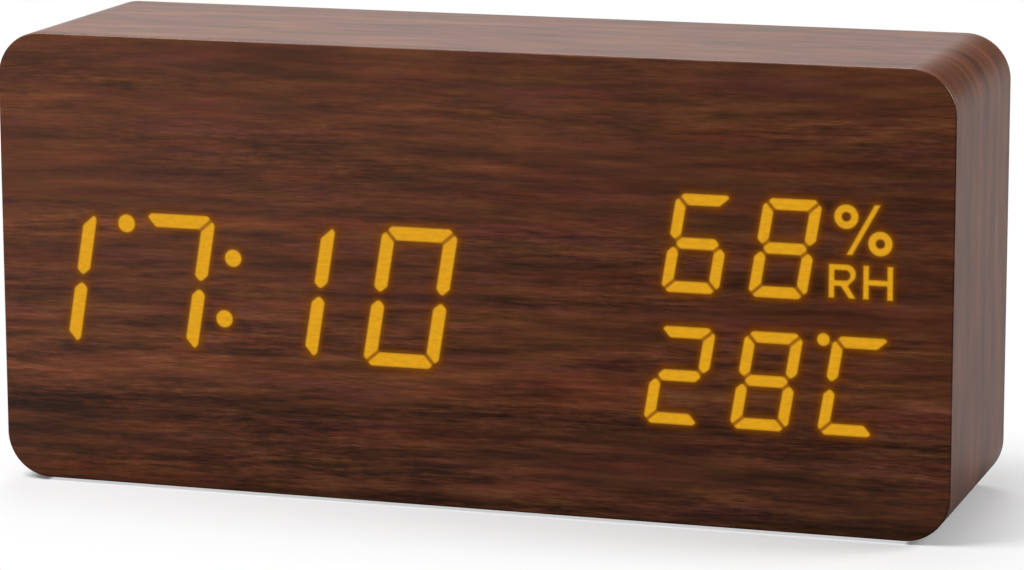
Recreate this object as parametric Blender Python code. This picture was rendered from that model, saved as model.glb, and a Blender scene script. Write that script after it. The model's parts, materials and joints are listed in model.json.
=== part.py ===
"""A wooden LED alarm clock with humidity and temperature, modelled piece by piece.

Metres, +Z up. The front faces -Y, +X is to the right of someone who reads the clock, and the
origin is under the middle of the clock, on the surface that its feet stand on.
"""

import math
from dataclasses import dataclass, field

import bmesh
import bpy
from mathutils import Vector
from mathutils.geometry import delaunay_2d_cdt

# Case
CASE_WIDTH = 0.150
CASE_DEPTH = 0.040
CASE_HEIGHT = 0.070
CASE_CORNER_RADIUS = 0.007
VENEER_THICKNESS = 0.0005
GLUE_LINE = 0.0002
CORE_WALL = 0.0045
CORE_FRONT_WALL = 0.0020
COVER_LEDGE = 0.0008
POST_WIDTH = 0.0080
MOST_POST_HEIGHT = 0.0064

# Clearances
FIT_GAP = 0.0003
GUIDE_GAP = 0.0001
SLIDE_GAP = 0.0003
CUT_OVERRUN = 0.0010
WELD_DISTANCE = 0.000001

# Feet
FOOT_RADIUS = 0.0045
FOOT_PROUD = 0.0005
FOOT_EDGE = 0.0002
FOOT_SIDE_SHARE = 0.82
FOOT_DEPTH_SHARE = 0.60

# Display. Shares across are of the display's room between the core's sides, counted from its
# middle, and shares up are of the case's height, counted from its bottom.
TIME_LEFT_SHARE = -0.5619
TIME_PITCH_SHARE = 0.14706
TIME_BASELINE_SHARE = 0.3029
TIME_WIDTH_SHARE = 0.0913
TIME_HEIGHT_SHARE = 0.3100
TIME_STROKE_SHARE = 0.182
TIME_LEAN_SHARE = 0.2958
CLIMATE_PITCH_SHARE = 0.1000
CLIMATE_WIDTH_SHARE = 0.0671
CLIMATE_HEIGHT_SHARE = 0.2136
CLIMATE_STROKE_SHARE = 0.202
CLIMATE_LEAN_SHARE = 0.2774
HUMIDITY_LEFT_SHARE = 0.2330
HUMIDITY_BASELINE_SHARE = 0.5036
TEMPERATURE_LEFT_SHARE = 0.2130
TEMPERATURE_BASELINE_SHARE = 0.2179
COLON_SHARES = ((-0.2767, 0.5221), (-0.2886, 0.3863))
COLON_DOT_SHARE = 0.0210
HOUR_DOT_SHARES = (-0.4084, 0.5863)
HOUR_DOT_SHARE = 0.0218
DEGREE_SHARES = (0.4203, 0.4220)
DEGREE_DOT_SHARE = 0.0150
PERCENT_RING_SHARES = ((0.4445, 0.6850), (0.4830, 0.6311))
PERCENT_RING_SHARE = 0.0279
PERCENT_HOLE_SHARE = 0.0098
SLASH_BOTTOM_SHARES = (0.4482, 0.6043)
SLASH_TOP_SHARES = (0.4796, 0.7129)
SLASH_WIDTH_SHARE = 0.0072
LETTER_R_LEFT_SHARE = 0.4253
LETTER_H_LEFT_SHARE = 0.4641
LETTER_BOTTOM_SHARE = 0.5121
LETTER_R_WIDTH_SHARE = 0.0309
LETTER_H_WIDTH_SHARE = 0.0339
LETTER_HEIGHT_SHARE = 0.0721
LETTER_STROKE_SHARE = 0.0068
LETTER_R_WAIST_SHARE = 0.44
LETTER_R_BOWL_SHARE = 0.20
LETTER_R_KNEE_SHARE = 0.72
LETTER_R_FOOT_SHARE = 1.15
LETTER_R_CROTCH_SHARE = 0.40

# Segments
SEGMENT_GAP = 0.00035
SEGMENT_TIP_GAP = 0.0004
SEGMENT_CORNER_CUT_SHARE = 0.64

# Reflectors and light guides
REFLECTOR_DEPTH = 0.0071
REFLECTOR_WALL = 0.0012
REFLECTOR_FLANGE = 0.0012
REFLECTOR_POCKET_DEPTH = 0.0020
GUIDE_SLAB_THICKNESS = 0.0009
GUIDE_SLAB_MARGIN = 0.00025
UNLIT_RECESS = 0.0002

# Display board
BOARD_THICKNESS = 0.0016
BOARD_SIDE_GAP = 0.0005
LED_LENGTH = 0.0016
LED_WIDTH = 0.0009
LED_HEIGHT = 0.0006
BOARD_SCREW_INSET = 0.0031
BOARD_SCREW_SIDE_SHARE = -0.88
BOSS_RADIUS = 0.0026

# Screws
SCREW_HEAD_RADIUS = 0.0019
SCREW_HEAD_HEIGHT = 0.0010
SCREW_SHANK_RADIUS = 0.0008
SCREW_HOLE_RADIUS = 0.0010
SCREW_TIP_RADIUS = 0.0003
SCREW_TIP_LENGTH = 0.0010
COVER_SCREW_LENGTH = 0.0100
BOARD_SCREW_LENGTH = 0.0052
SCREW_SLOT_LENGTH = 0.0022
SCREW_SLOT_WIDTH = 0.0006
SCREW_SLOT_DEPTH = 0.0005

# Rear cover
COVER_THICKNESS = 0.0025
COVER_RECESS = 0.0010
COVER_SIDE_GAP = 0.0003
COVER_SCREW_INSET = 0.0036
COUNTERBORE_RADIUS = 0.0022
COUNTERBORE_DEPTH = 0.0013

# Cells and their bay
CELL_RADIUS = 0.00525
CELL_LENGTH = 0.0445
CELL_NUB_RADIUS = 0.0019
CELL_NUB_LENGTH = 0.0010
CELL_EDGE = 0.0004
CELL_COUNT = 3
CELL_GAP = 0.0004
BAY_LEFT_ROOM_SHARE = 0.1157
BAY_WALL = 0.0014
BAY_FLOOR = 0.0014
BAY_TOP_ROOM = 0.0006
BAY_RIB_WIDTH = 0.0012
BAY_RIB_HEIGHT = 0.0018
BAY_RIB_LENGTH_SHARE = 0.55
CONTACT_THICKNESS = 0.0004
CONTACT_HEIGHT = 0.0084
CONTACT_DEPTH = 0.0080
CONTACT_SPRING_LENGTH = 0.0050
CONTACT_SPRING_RADIUS = 0.0034
CONTACT_SPRING_COILS = 3
CONTACT_SPRING_TAPER_SHARE = 0.62
CONTACT_BUMP_RADIUS = 0.0022
CONTACT_BUMP_HEIGHT = 0.0005
TAB_WIDTH = 0.0024
TAB_THICKNESS = 0.0006
TAB_REACH = 0.0016

# Battery door
DOOR_THICKNESS = 0.0015
DOOR_LEDGE = 0.0011
DOOR_LEDGE_THICKNESS = 0.0018
DOOR_BARREL_RADIUS = 0.0016
DOOR_HINGE_STEP = 0.0003
DOOR_PIN_RADIUS = 0.0007
DOOR_PIN_LENGTH = 0.0010
DOOR_PIN_GAP = 0.0002
GRIP_RADIUS = 0.0040
GRIP_DEPTH = 0.0008
GRIP_LENGTH = 0.0140
GRIP_INSET = 0.0050

# Buttons and their board
BUTTON_RADIUS = 0.0034
BUTTON_FLANGE_RADIUS = 0.0043
BUTTON_FLANGE_THICKNESS = 0.0010
BUTTON_PROUD = 0.0006
BUTTON_EDGE = 0.0004
BUTTON_DISH_RADIUS = 0.0022
BUTTON_DISH_DEPTH = 0.0002
BUTTON_TRAVEL = 0.0005
BUTTON_SIDE_SHARES = (0.198, 0.3985, 0.599)
BUTTON_HEIGHT_SHARE = 0.45
PLUNGER_RADIUS = 0.00175
PLUNGER_LENGTH = 0.0018
PLUNGER_GAP = 0.0002
PLUNGER_PROUD = 0.0010
SWITCH_SIDE = 0.0060
SWITCH_THICKNESS = 0.0035
BUTTON_BOARD_THICKNESS = 0.0012
BUTTON_BOARD_LOWER_HEIGHT = 0.0050
BUTTON_BOARD_MARGIN = 0.0055
COVER_POST_RADIUS = 0.0018
COVER_PIN_RADIUS = 0.0009
COVER_PIN_PROUD = 0.0006

# Sensor and its vents
SENSOR_SIDE_SHARE = 0.8195
SENSOR_WIDTH = 0.0060
SENSOR_HEIGHT = 0.0050
SENSOR_THICKNESS = 0.0022
SENSOR_MOUTH_RADIUS = 0.0010
VENT_COUNT = 4
VENT_LENGTH = 0.0070
VENT_WIDTH = 0.0010
VENT_PITCH = 0.0022

# Sounder and its grille
SOUNDER_SIDE_SHARE = 0.40
SOUNDER_HEIGHT_SHARE = -0.35
SOUNDER_RADIUS = 0.0060
SOUNDER_THICKNESS = 0.0070
SOUNDER_MOUTH_RADIUS = 0.0010
SOUNDER_MOUTH_DEPTH = 0.0030
SOUNDER_EDGE = 0.0004
GRILLE_HOLE_RADIUS = 0.0008
GRILLE_RING_RADIUS = 0.0036
GRILLE_RING_HOLES = 8

# Power jack
JACK_SIDE_SHARE = 0.80
JACK_HEIGHT_SHARE = -0.45
JACK_WIDTH = 0.0090
JACK_HEIGHT = 0.0100
JACK_LENGTH = 0.0130
JACK_BORE_RADIUS = 0.00275
JACK_BORE_DEPTH = 0.0095
JACK_PIN_RADIUS = 0.00105
JACK_PIN_SHORT = 0.0012
JACK_MOUTH_RADIUS = 0.0040
JACK_CRADLE_WALL = 0.0012
JACK_CRADLE_DEPTH = 0.0060

# Parts on the back of the display board
CHIP_SIDE = 0.0100
CHIP_THICKNESS = 0.0014
CHIP_SIDE_SHARE = -0.12
DRIVER_SIZE = (0.0100, 0.0060)
DRIVER_THICKNESS = 0.0016
DRIVER_SIDE_SHARE = 0.16
CRYSTAL_SIZE = (0.0035, 0.0080)
CRYSTAL_THICKNESS = 0.0028
CRYSTAL_SIDE_SHARE = -0.28
CHIP_HEIGHT_SHARE = 0.10
HOLDER_SIDE_SHARE = 0.62
HOLDER_HEIGHT_SHARE = 0.20
HOLDER_WALL = 0.0010
HOLDER_FLOOR = 0.0008
COIN_RADIUS = 0.0080
COIN_THICKNESS = 0.0032
COIN_STEP = 0.0006

# Leads
LEAD_RADIUS = 0.0006
POWER_LEAD_RADIUS = 0.0010
LEAD_STRAIGHT = 0.0015
LEAD_BULGE_SHARE = 0.5
LEAD_POINT_DIAMETERS = 2.5
RIBBON_THICKNESS = 0.0004
RIBBON_WIDTH = 0.0070
RIBBON_BEND_SHARE = 0.35

# How finely round shapes are drawn
CASE_CORNER_STEPS = 12
CORNER_STEPS = 6
DOT_SIDES = 16
HOLE_SIDES = 10
ROUND_SIDES = 32
SMOOTH_DEGREES = 35

# Planes from front to rear, worked out from the sizes above
FRONT = -CASE_DEPTH / 2
REAR = CASE_DEPTH / 2
VENEER_BACK = FRONT + VENEER_THICKNESS
CORE_FRONT = VENEER_BACK + GLUE_LINE
CORE_WALL_BACK = CORE_FRONT + CORE_FRONT_WALL
REFLECTOR_FRONT = CORE_FRONT
REFLECTOR_BACK = REFLECTOR_FRONT + REFLECTOR_DEPTH
FLANGE_FRONT = CORE_WALL_BACK + FIT_GAP
POCKET_FLOOR = REFLECTOR_BACK - REFLECTOR_POCKET_DEPTH
SLAB_FRONT = POCKET_FLOOR + FIT_GAP
SLAB_BACK = SLAB_FRONT + GUIDE_SLAB_THICKNESS
BOARD_FRONT = REFLECTOR_BACK + FIT_GAP
BOARD_BACK = BOARD_FRONT + BOARD_THICKNESS
PARTS_FRONT = BOARD_BACK + FIT_GAP
COVER_OUTER = REAR - COVER_RECESS
COVER_INNER = COVER_OUTER - COVER_THICKNESS
LEDGE_PLANE = COVER_INNER - FIT_GAP
DOOR_INNER = COVER_OUTER - DOOR_THICKNESS
DOOR_SEAT = COVER_OUTER - DOOR_LEDGE_THICKNESS
CELL_AXIS_Y = DOOR_INNER - FIT_GAP - CELL_RADIUS
BAY_FLOOR_PLANE = CELL_AXIS_Y - CELL_RADIUS - FIT_GAP
BAY_OUTER_PLANE = BAY_FLOOR_PLANE - BAY_FLOOR
BUTTON_OUTER = COVER_OUTER + BUTTON_PROUD
BUTTON_FLANGE_BACK = COVER_INNER - FIT_GAP
BUTTON_INNER = BUTTON_FLANGE_BACK - BUTTON_FLANGE_THICKNESS
PLUNGER_REAR = BUTTON_INNER - PLUNGER_GAP
SWITCH_REAR = PLUNGER_REAR - PLUNGER_PROUD
SWITCH_FRONT = SWITCH_REAR - SWITCH_THICKNESS
BUTTON_BOARD_REAR = SWITCH_FRONT - FIT_GAP
BUTTON_BOARD_FRONT = BUTTON_BOARD_REAR - BUTTON_BOARD_THICKNESS
JACK_REAR = COVER_INNER - FIT_GAP
JACK_FRONT = JACK_REAR - JACK_LENGTH

# Heights and widths of the case
BOTTOM = FOOT_PROUD
TOP = BOTTOM + CASE_HEIGHT
MIDDLE = (BOTTOM + TOP) / 2
CORE_INSET = VENEER_THICKNESS + GLUE_LINE
RECESS_INSET = CORE_INSET + CORE_WALL
CAVITY_INSET = RECESS_INSET + COVER_LEDGE
COVER_INSET = RECESS_INSET + COVER_SIDE_GAP
CAVITY_HALF_WIDTH = CASE_WIDTH / 2 - CAVITY_INSET
CAVITY_BOTTOM = BOTTOM + CAVITY_INSET
CAVITY_TOP = TOP - CAVITY_INSET
COVER_HALF_WIDTH = CASE_WIDTH / 2 - COVER_INSET
COVER_HALF_HEIGHT = CASE_HEIGHT / 2 - COVER_INSET
DISPLAY_WIDTH = 2 * (CAVITY_HALF_WIDTH - REFLECTOR_WALL - REFLECTOR_FLANGE - FIT_GAP)

# The battery bay and its door, from the cells
CELL_PITCH = 2 * CELL_RADIUS + CELL_GAP
BAY_HALF_WIDTH = (
    CELL_LENGTH / 2
    + (CONTACT_SPRING_LENGTH + CONTACT_BUMP_HEIGHT) / 2
    + CONTACT_THICKNESS
    + 2 * FIT_GAP
)
BAY_HEIGHT = CELL_COUNT * CELL_PITCH + DOOR_BARREL_RADIUS + BAY_TOP_ROOM
BAY_SIDE_ROOM = 2 * (CAVITY_HALF_WIDTH - BAY_HALF_WIDTH - BAY_WALL)
BAY_LEFT = BAY_LEFT_ROOM_SHARE * BAY_SIDE_ROOM - CAVITY_HALF_WIDTH
BAY_X = BAY_LEFT + BAY_WALL + BAY_HALF_WIDTH
BAY_BOTTOM = MIDDLE - BAY_HEIGHT / 2
BAY_TOP = BAY_BOTTOM + BAY_HEIGHT
DOOR_HALF_WIDTH = BAY_HALF_WIDTH + DOOR_LEDGE - FIT_GAP
DOOR_BOTTOM = BAY_BOTTOM + FIT_GAP
DOOR_TOP = BAY_TOP + DOOR_LEDGE - FIT_GAP
HINGE_Y = COVER_OUTER - DOOR_BARREL_RADIUS
HINGE_Z = DOOR_BOTTOM + DOOR_BARREL_RADIUS

# How far the battery leads reach, from the middle of the bay
TAB_END = BAY_HALF_WIDTH + BAY_WALL + TAB_REACH
LEAD_REACH = TAB_END + FIT_GAP + LEAD_STRAIGHT * (1 + LEAD_BULGE_SHARE) + LEAD_RADIUS

# What the rear cover carries. The buttons and the sensor share the room right of the leads.
BUTTON_ROOM_LEFT = BAY_X + LEAD_REACH
BUTTON_ROOM = COVER_HALF_WIDTH - BUTTON_ROOM_LEFT
BUTTON_Z = MIDDLE + BUTTON_HEIGHT_SHARE * COVER_HALF_HEIGHT
BUTTON_XS = [BUTTON_ROOM_LEFT + share * BUTTON_ROOM for share in BUTTON_SIDE_SHARES]
SENSOR_X = BUTTON_ROOM_LEFT + SENSOR_SIDE_SHARE * BUTTON_ROOM
SOUNDER_X = SOUNDER_SIDE_SHARE * COVER_HALF_WIDTH
SOUNDER_Z = MIDDLE + SOUNDER_HEIGHT_SHARE * COVER_HALF_HEIGHT
JACK_X = JACK_SIDE_SHARE * COVER_HALF_WIDTH
JACK_Z = MIDDLE + JACK_HEIGHT_SHARE * COVER_HALF_HEIGHT
COVER_POST_XS = [(a + b) / 2 for a, b in zip(BUTTON_XS, BUTTON_XS[1:] + [SENSOR_X])]
COVER_POST_Z = BUTTON_Z + BUTTON_FLANGE_RADIUS + FIT_GAP + COVER_POST_RADIUS

# Lit segments: a is the top bar, b to f run clockwise round the digit, and g is the middle bar
ALL_SEGMENTS = "abcdefg"
RIGHT_SEGMENTS = "bc"
TIME_DIGITS = (
    ("hour_tens", RIGHT_SEGMENTS, "bc"),
    ("hour_units", ALL_SEGMENTS, "abc"),
    ("minute_tens", ALL_SEGMENTS, "bc"),
    ("minute_units", ALL_SEGMENTS, "abcdef"),
)
HUMIDITY_DIGITS = (
    ("humidity_tens", ALL_SEGMENTS, "acdefg"),
    ("humidity_units", ALL_SEGMENTS, "abcdefg"),
)
TEMPERATURE_DIGITS = (
    ("temperature_tens", ALL_SEGMENTS, "abdeg"),
    ("temperature_units", ALL_SEGMENTS, "abcdefg"),
    ("temperature_unit_sign", ALL_SEGMENTS, "adef"),
)

# Colours: red, green, blue, then roughness and metallic
FINISHES = {
    "walnut_veneer": (0.105, 0.048, 0.026, 0.50, 0.0),
    "fibreboard": (0.36, 0.24, 0.14, 0.85, 0.0),
    "black_plastic": (0.018, 0.018, 0.019, 0.55, 0.0),
    "button_plastic": (0.045, 0.045, 0.048, 0.42, 0.0),
    "foot_rubber": (0.030, 0.030, 0.030, 0.90, 0.0),
    "white_plastic": (0.80, 0.80, 0.78, 0.55, 0.0),
    "amber_guide": (0.72, 0.36, 0.020, 0.30, 0.0),
    "circuit_board": (0.02, 0.16, 0.06, 0.45, 0.0),
    "chip_plastic": (0.025, 0.025, 0.027, 0.50, 0.0),
    "steel": (0.62, 0.62, 0.63, 0.32, 1.0),
    "cell_wrap": (0.03, 0.07, 0.20, 0.35, 0.0),
    "lead_red": (0.45, 0.02, 0.02, 0.50, 0.0),
    "lead_black": (0.02, 0.02, 0.02, 0.50, 0.0),
    "ribbon_grey": (0.42, 0.43, 0.45, 0.55, 0.0),
}


@dataclass
class Step:
    """A flat area that stands up from, or is sunk into, the face round it, as far as plane y."""

    outline: list
    y: float
    steps: list = field(default_factory=list)
    through: bool = False


# Outlines, as lists of (x, z) points


def rectangle(left, right, bottom, top):
    return [(left, bottom), (right, bottom), (right, top), (left, top)]


def centred(x, z, width, height):
    return rectangle(x - width / 2, x + width / 2, z - height / 2, z + height / 2)


def circle(x, z, radius, sides=DOT_SIDES):
    turns = [2 * math.pi * i / sides for i in range(sides)]
    return [(x + radius * math.cos(a), z + radius * math.sin(a)) for a in turns]


def arc(x, z, radius, start, end, steps):
    """Points from one angle to the other, in degrees, both ends included."""
    angles = [math.radians(start + (end - start) * i / steps) for i in range(steps + 1)]
    return [(x + radius * math.cos(a), z + radius * math.sin(a)) for a in angles]


def rounded_rectangle(left, right, bottom, top, radius, steps=CORNER_STEPS):
    quarter = 90
    corners = (
        (right - radius, bottom + radius, -quarter),
        (right - radius, top - radius, 0),
        (left + radius, top - radius, quarter),
        (left + radius, bottom + radius, 2 * quarter),
    )
    points = []
    for x, z, start in corners:
        points += arc(x, z, radius, start, start + quarter, steps)
    return points


def slot_outline(x, z, length, width):
    """A slot with round ends, its length along X."""
    half = (length - width) / 2
    right = arc(x + half, z, width / 2, -90, 90, CORNER_STEPS // 2)
    left = arc(x - half, z, width / 2, 90, 270, CORNER_STEPS // 2)
    return right + left


def cross_outline(length, width):
    """A plus sign round the middle."""
    far, near = length / 2, width / 2
    corner = [(far, -near), (far, near), (near, near)]
    points = []
    for turn in range(4):
        for x, z in corner:
            for _ in range(turn):
                x, z = -z, x
            points.append((x, z))
    return points


def case_outline(inset):
    """The case's outline seen from the front, moved in by inset all round."""
    half = CASE_WIDTH / 2 - inset
    radius = max(CASE_CORNER_RADIUS - inset, GUIDE_GAP)
    low, high = BOTTOM + inset, TOP - inset
    return rounded_rectangle(-half, half, low, high, radius, CASE_CORNER_STEPS)


def box_round(outlines, margin=0.0):
    xs = [x for outline in outlines for x, _ in outline]
    zs = [z for outline in outlines for _, z in outline]
    return rectangle(
        min(xs) - margin, max(xs) + margin, min(zs) - margin, max(zs) + margin
    )


def grown(box, margin):
    return box_round([box], margin)


def inset_outline(outline, distance):
    """The outline with each edge moved in by distance. Its points run anticlockwise."""
    points = [Vector(p) for p in outline]
    lines = []
    for here, there in zip(points, points[1:] + points[:1]):
        along = (there - here).normalized()
        lines.append((here + distance * Vector((-along.y, along.x)), along))
    found = []
    for (start, along), (other, across) in zip(lines[-1:] + lines[:-1], lines):
        bend = along.cross(across)
        travel = (other - start).cross(across) / bend
        found.append(tuple(start + travel * along))
    return found


def on_face(shares):
    """A place given as shares of the display's width and the case's height."""
    across, up = shares
    return across * DISPLAY_WIDTH, BOTTOM + up * CASE_HEIGHT


# Segments


def upright_segments(width, height, stroke):
    """The seven segment outlines of an upright digit, from its lower left corner."""
    cut = stroke * SEGMENT_CORNER_CUT_SHARE
    part = SEGMENT_GAP / math.sqrt(2)
    tip = SEGMENT_TIP_GAP
    bar_tip = stroke / 2 + SEGMENT_GAP * math.sqrt(2) - tip
    middle = height / 2
    shoulder = middle + tip + stroke / 2
    top_bar = [
        (cut, height),
        ((cut + part) / 2, height - (cut - part) / 2),
        (stroke + part, height - stroke),
        (width - stroke - part, height - stroke),
        (width - (cut + part) / 2, height - (cut - part) / 2),
        (width - cut, height),
    ]
    upper_left = [
        (0, height - cut),
        (0, shoulder),
        (stroke / 2, middle + tip),
        (stroke, shoulder),
        (stroke, height - stroke - part),
        ((cut - part) / 2, height - (cut + part) / 2),
    ]
    middle_bar = [
        (bar_tip, middle),
        (bar_tip + stroke / 2, middle - stroke / 2),
        (width - bar_tip - stroke / 2, middle - stroke / 2),
        (width - bar_tip, middle),
        (width - bar_tip - stroke / 2, middle + stroke / 2),
        (bar_tip + stroke / 2, middle + stroke / 2),
    ]

    def flipped(outline, across, up):
        points = [
            (width - x if across else x, height - z if up else z) for x, z in outline
        ]
        return points if across == up else points[::-1]

    return {
        "a": top_bar,
        "b": flipped(upper_left, True, False),
        "c": flipped(upper_left, True, True),
        "d": flipped(top_bar, False, True),
        "e": flipped(upper_left, False, True),
        "f": upper_left,
        "g": middle_bar,
    }


def leaning(outline, left, baseline, lean):
    """Moves an outline to its place. lean is how far it leans to the right per unit of height."""
    return [(left + x + lean * z, baseline + z) for x, z in outline]


@dataclass
class Sign:
    """One light guide's cells: those that are lit, those that stay dark, and its slab."""

    name: str
    lit: list
    dark: list
    slab: list
    holes: list = field(default_factory=list)


def digit_signs(digits, left, pitch, baseline, width, height, stroke, reach):
    """A row of digits whose tops lean to the right, as far as reach."""
    signs = []
    outlines = upright_segments(width, height, stroke)
    margin = GUIDE_SLAB_MARGIN
    lean = reach / height
    for place, (name, built, lit) in enumerate(digits):
        start = left + place * pitch
        slab_left = width - stroke if built == RIGHT_SEGMENTS else 0
        slab = rectangle(slab_left - margin, width + margin, -margin, height + margin)
        cells = {key: leaning(outlines[key], start, baseline, lean) for key in built}
        signs.append(
            Sign(
                name,
                [cells[key] for key in built if key in lit],
                [cells[key] for key in built if key not in lit],
                leaning(slab, start, baseline, lean),
            )
        )
    return signs


def letter_r(left, bottom, width, height, stroke):
    """Outline and counter of an upright R."""
    waist = LETTER_R_WAIST_SHARE * height
    bowl = LETTER_R_BOWL_SHARE * width
    outline = [
        (0, 0),
        (stroke, 0),
        (stroke, waist - stroke / 2),
        (width / 2 - stroke / 4, waist - stroke / 2),
        (width - stroke * LETTER_R_FOOT_SHARE, 0),
        (width, 0),
        (width * LETTER_R_KNEE_SHARE, waist - stroke * LETTER_R_CROTCH_SHARE),
        (width, waist + bowl),
        (width, height - bowl),
        (width - bowl, height),
        (0, height),
    ]
    counter = [
        (stroke, waist + stroke / 2),
        (width - stroke - bowl / 2, waist + stroke / 2),
        (width - stroke, waist + stroke / 2 + bowl / 2),
        (width - stroke, height - stroke - bowl / 2),
        (width - stroke - bowl / 2, height - stroke),
        (stroke, height - stroke),
    ]
    return [
        [(left + x, bottom + z) for x, z in points] for points in (outline, counter)
    ]


def letter_h(left, bottom, width, height, stroke):
    low, high = (height - stroke) / 2, (height + stroke) / 2
    points = [
        (0, 0),
        (stroke, 0),
        (stroke, low),
        (width - stroke, low),
        (width - stroke, 0),
        (width, 0),
        (width, height),
        (width - stroke, height),
        (width - stroke, high),
        (stroke, high),
        (stroke, height),
        (0, height),
    ]
    return [(left + x, bottom + z) for x, z in points]


def time_signs():
    width = TIME_WIDTH_SHARE * DISPLAY_WIDTH
    signs = digit_signs(
        TIME_DIGITS,
        TIME_LEFT_SHARE * DISPLAY_WIDTH,
        TIME_PITCH_SHARE * DISPLAY_WIDTH,
        BOTTOM + TIME_BASELINE_SHARE * CASE_HEIGHT,
        width,
        TIME_HEIGHT_SHARE * CASE_HEIGHT,
        TIME_STROKE_SHARE * width,
        TIME_LEAN_SHARE * width,
    )
    radius = COLON_DOT_SHARE * DISPLAY_WIDTH / 2
    (upper_x, upper_z), (lower_x, lower_z) = [on_face(dot) for dot in COLON_SHARES]
    dots = [circle(upper_x, upper_z, radius), circle(lower_x, lower_z, radius)]
    reach = radius + GUIDE_SLAB_MARGIN
    slab = [
        (lower_x - reach, lower_z - reach),
        (lower_x + reach, lower_z - reach),
        (upper_x + reach, upper_z + reach),
        (upper_x - reach, upper_z + reach),
    ]
    signs.append(Sign("colon", dots, [], slab))
    radius = HOUR_DOT_SHARE * DISPLAY_WIDTH / 2
    x, z = on_face(HOUR_DOT_SHARES)
    slab = circle(x, z, radius + GUIDE_SLAB_MARGIN)
    signs.append(Sign("hour_dot", [circle(x, z, radius)], [], slab))
    return signs


def percent_humidity_sign():
    """A percent sign over the letters R and H, on one slab."""
    radius = PERCENT_RING_SHARE * DISPLAY_WIDTH / 2
    hole = PERCENT_HOLE_SHARE * DISPLAY_WIDTH / 2
    rings = [on_face(shares) for shares in PERCENT_RING_SHARES]
    half = SLASH_WIDTH_SHARE * DISPLAY_WIDTH / 2
    low_x, low_z = on_face(SLASH_BOTTOM_SHARES)
    high_x, high_z = on_face(SLASH_TOP_SHARES)
    slash = [
        (low_x - half, low_z),
        (low_x + half, low_z),
        (high_x + half, high_z),
        (high_x - half, high_z),
    ]
    r_left, letter_bottom = on_face((LETTER_R_LEFT_SHARE, LETTER_BOTTOM_SHARE))
    h_left, _ = on_face((LETTER_H_LEFT_SHARE, LETTER_BOTTOM_SHARE))
    height = LETTER_HEIGHT_SHARE * CASE_HEIGHT
    stroke = LETTER_STROKE_SHARE * DISPLAY_WIDTH
    r_width = LETTER_R_WIDTH_SHARE * DISPLAY_WIDTH
    h_width = LETTER_H_WIDTH_SHARE * DISPLAY_WIDTH
    r_outline, counter = letter_r(r_left, letter_bottom, r_width, height, stroke)
    lit = [circle(x, z, radius) for x, z in rings]
    lit += [slash, r_outline, letter_h(h_left, letter_bottom, h_width, height, stroke)]
    holes = [circle(x, z, hole, HOLE_SIDES) for x, z in rings] + [counter]
    return Sign(
        "humidity_unit_sign", lit, [], box_round(lit, GUIDE_SLAB_MARGIN), holes
    )


def climate_signs():
    width = CLIMATE_WIDTH_SHARE * DISPLAY_WIDTH
    sizes = (
        width,
        CLIMATE_HEIGHT_SHARE * CASE_HEIGHT,
        CLIMATE_STROKE_SHARE * width,
        CLIMATE_LEAN_SHARE * width,
    )
    pitch = CLIMATE_PITCH_SHARE * DISPLAY_WIDTH
    left, baseline = on_face((HUMIDITY_LEFT_SHARE, HUMIDITY_BASELINE_SHARE))
    signs = digit_signs(HUMIDITY_DIGITS, left, pitch, baseline, *sizes)
    signs.append(percent_humidity_sign())
    left, baseline = on_face((TEMPERATURE_LEFT_SHARE, TEMPERATURE_BASELINE_SHARE))
    signs += digit_signs(TEMPERATURE_DIGITS, left, pitch, baseline, *sizes)
    add_degree(signs[-1])
    return signs


def add_degree(celsius):
    """Adds the degree dot to the upper left of the C, and widens the slab to carry it."""
    radius = DEGREE_DOT_SHARE * DISPLAY_WIDTH / 2
    x, z = on_face(DEGREE_SHARES)
    celsius.lit.append(circle(x, z, radius, HOLE_SIDES))
    reach = radius + GUIDE_SLAB_MARGIN
    bottom_left, bottom_right, top_right, top_left = celsius.slab
    lean = (top_left[0] - bottom_left[0]) / (top_left[1] - bottom_left[1])
    low, high = z - reach, max(z + reach, top_left[1])
    celsius.slab = [
        bottom_left,
        bottom_right,
        (top_right[0] + lean * (high - top_right[1]), high),
        (x - reach, high),
        (x - reach, low),
        (bottom_left[0] + lean * (low - bottom_left[1]), low),
    ]


# Mesh helpers


def material(finish):
    """The finish's Principled material, made the first time that it is asked for."""
    made = bpy.data.materials.get(finish)
    if made:
        return made
    made = bpy.data.materials.new(finish)
    made.use_nodes = True
    *colour, roughness, metallic = FINISHES[finish]
    shader = made.node_tree.nodes["Principled BSDF"]
    shader.inputs["Base Color"].default_value = (*colour, 1)
    shader.inputs["Roughness"].default_value = roughness
    shader.inputs["Metallic"].default_value = metallic
    made.diffuse_color = (*colour, 1)
    return made


def place(name, data, finish, location=(0, 0, 0), turn=(0, 0, 0)):
    """Puts a mesh or a curve in the scene. turn is in degrees."""
    data.materials.append(material(finish))
    piece = bpy.data.objects.new(name, data)
    piece.location = location
    piece.rotation_euler = [math.radians(angle) for angle in turn]
    bpy.context.scene.collection.objects.link(piece)
    return piece


def mesh_from(shape, name):
    """Welds the faces of a bmesh into one closed skin that faces out, and shades it."""
    bmesh.ops.remove_doubles(shape, verts=shape.verts, dist=WELD_DISTANCE)
    bmesh.ops.recalc_face_normals(shape, faces=shape.faces)
    mesh = bpy.data.meshes.new(name)
    shape.to_mesh(mesh)
    shape.free()
    mesh.shade_smooth()
    mesh.set_sharp_from_angle(angle=math.radians(SMOOTH_DEGREES))
    return mesh


def within(point, outline):
    """Whether a point lies inside an outline, by counting the edges to its right."""
    x, z = point
    inside = False
    for (x0, z0), (x1, z1) in zip(outline, outline[1:] + outline[:1]):
        if (z0 > z) != (z1 > z) and x < x0 + (z - z0) * (x1 - x0) / (z1 - z0):
            inside = not inside
    return inside


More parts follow.
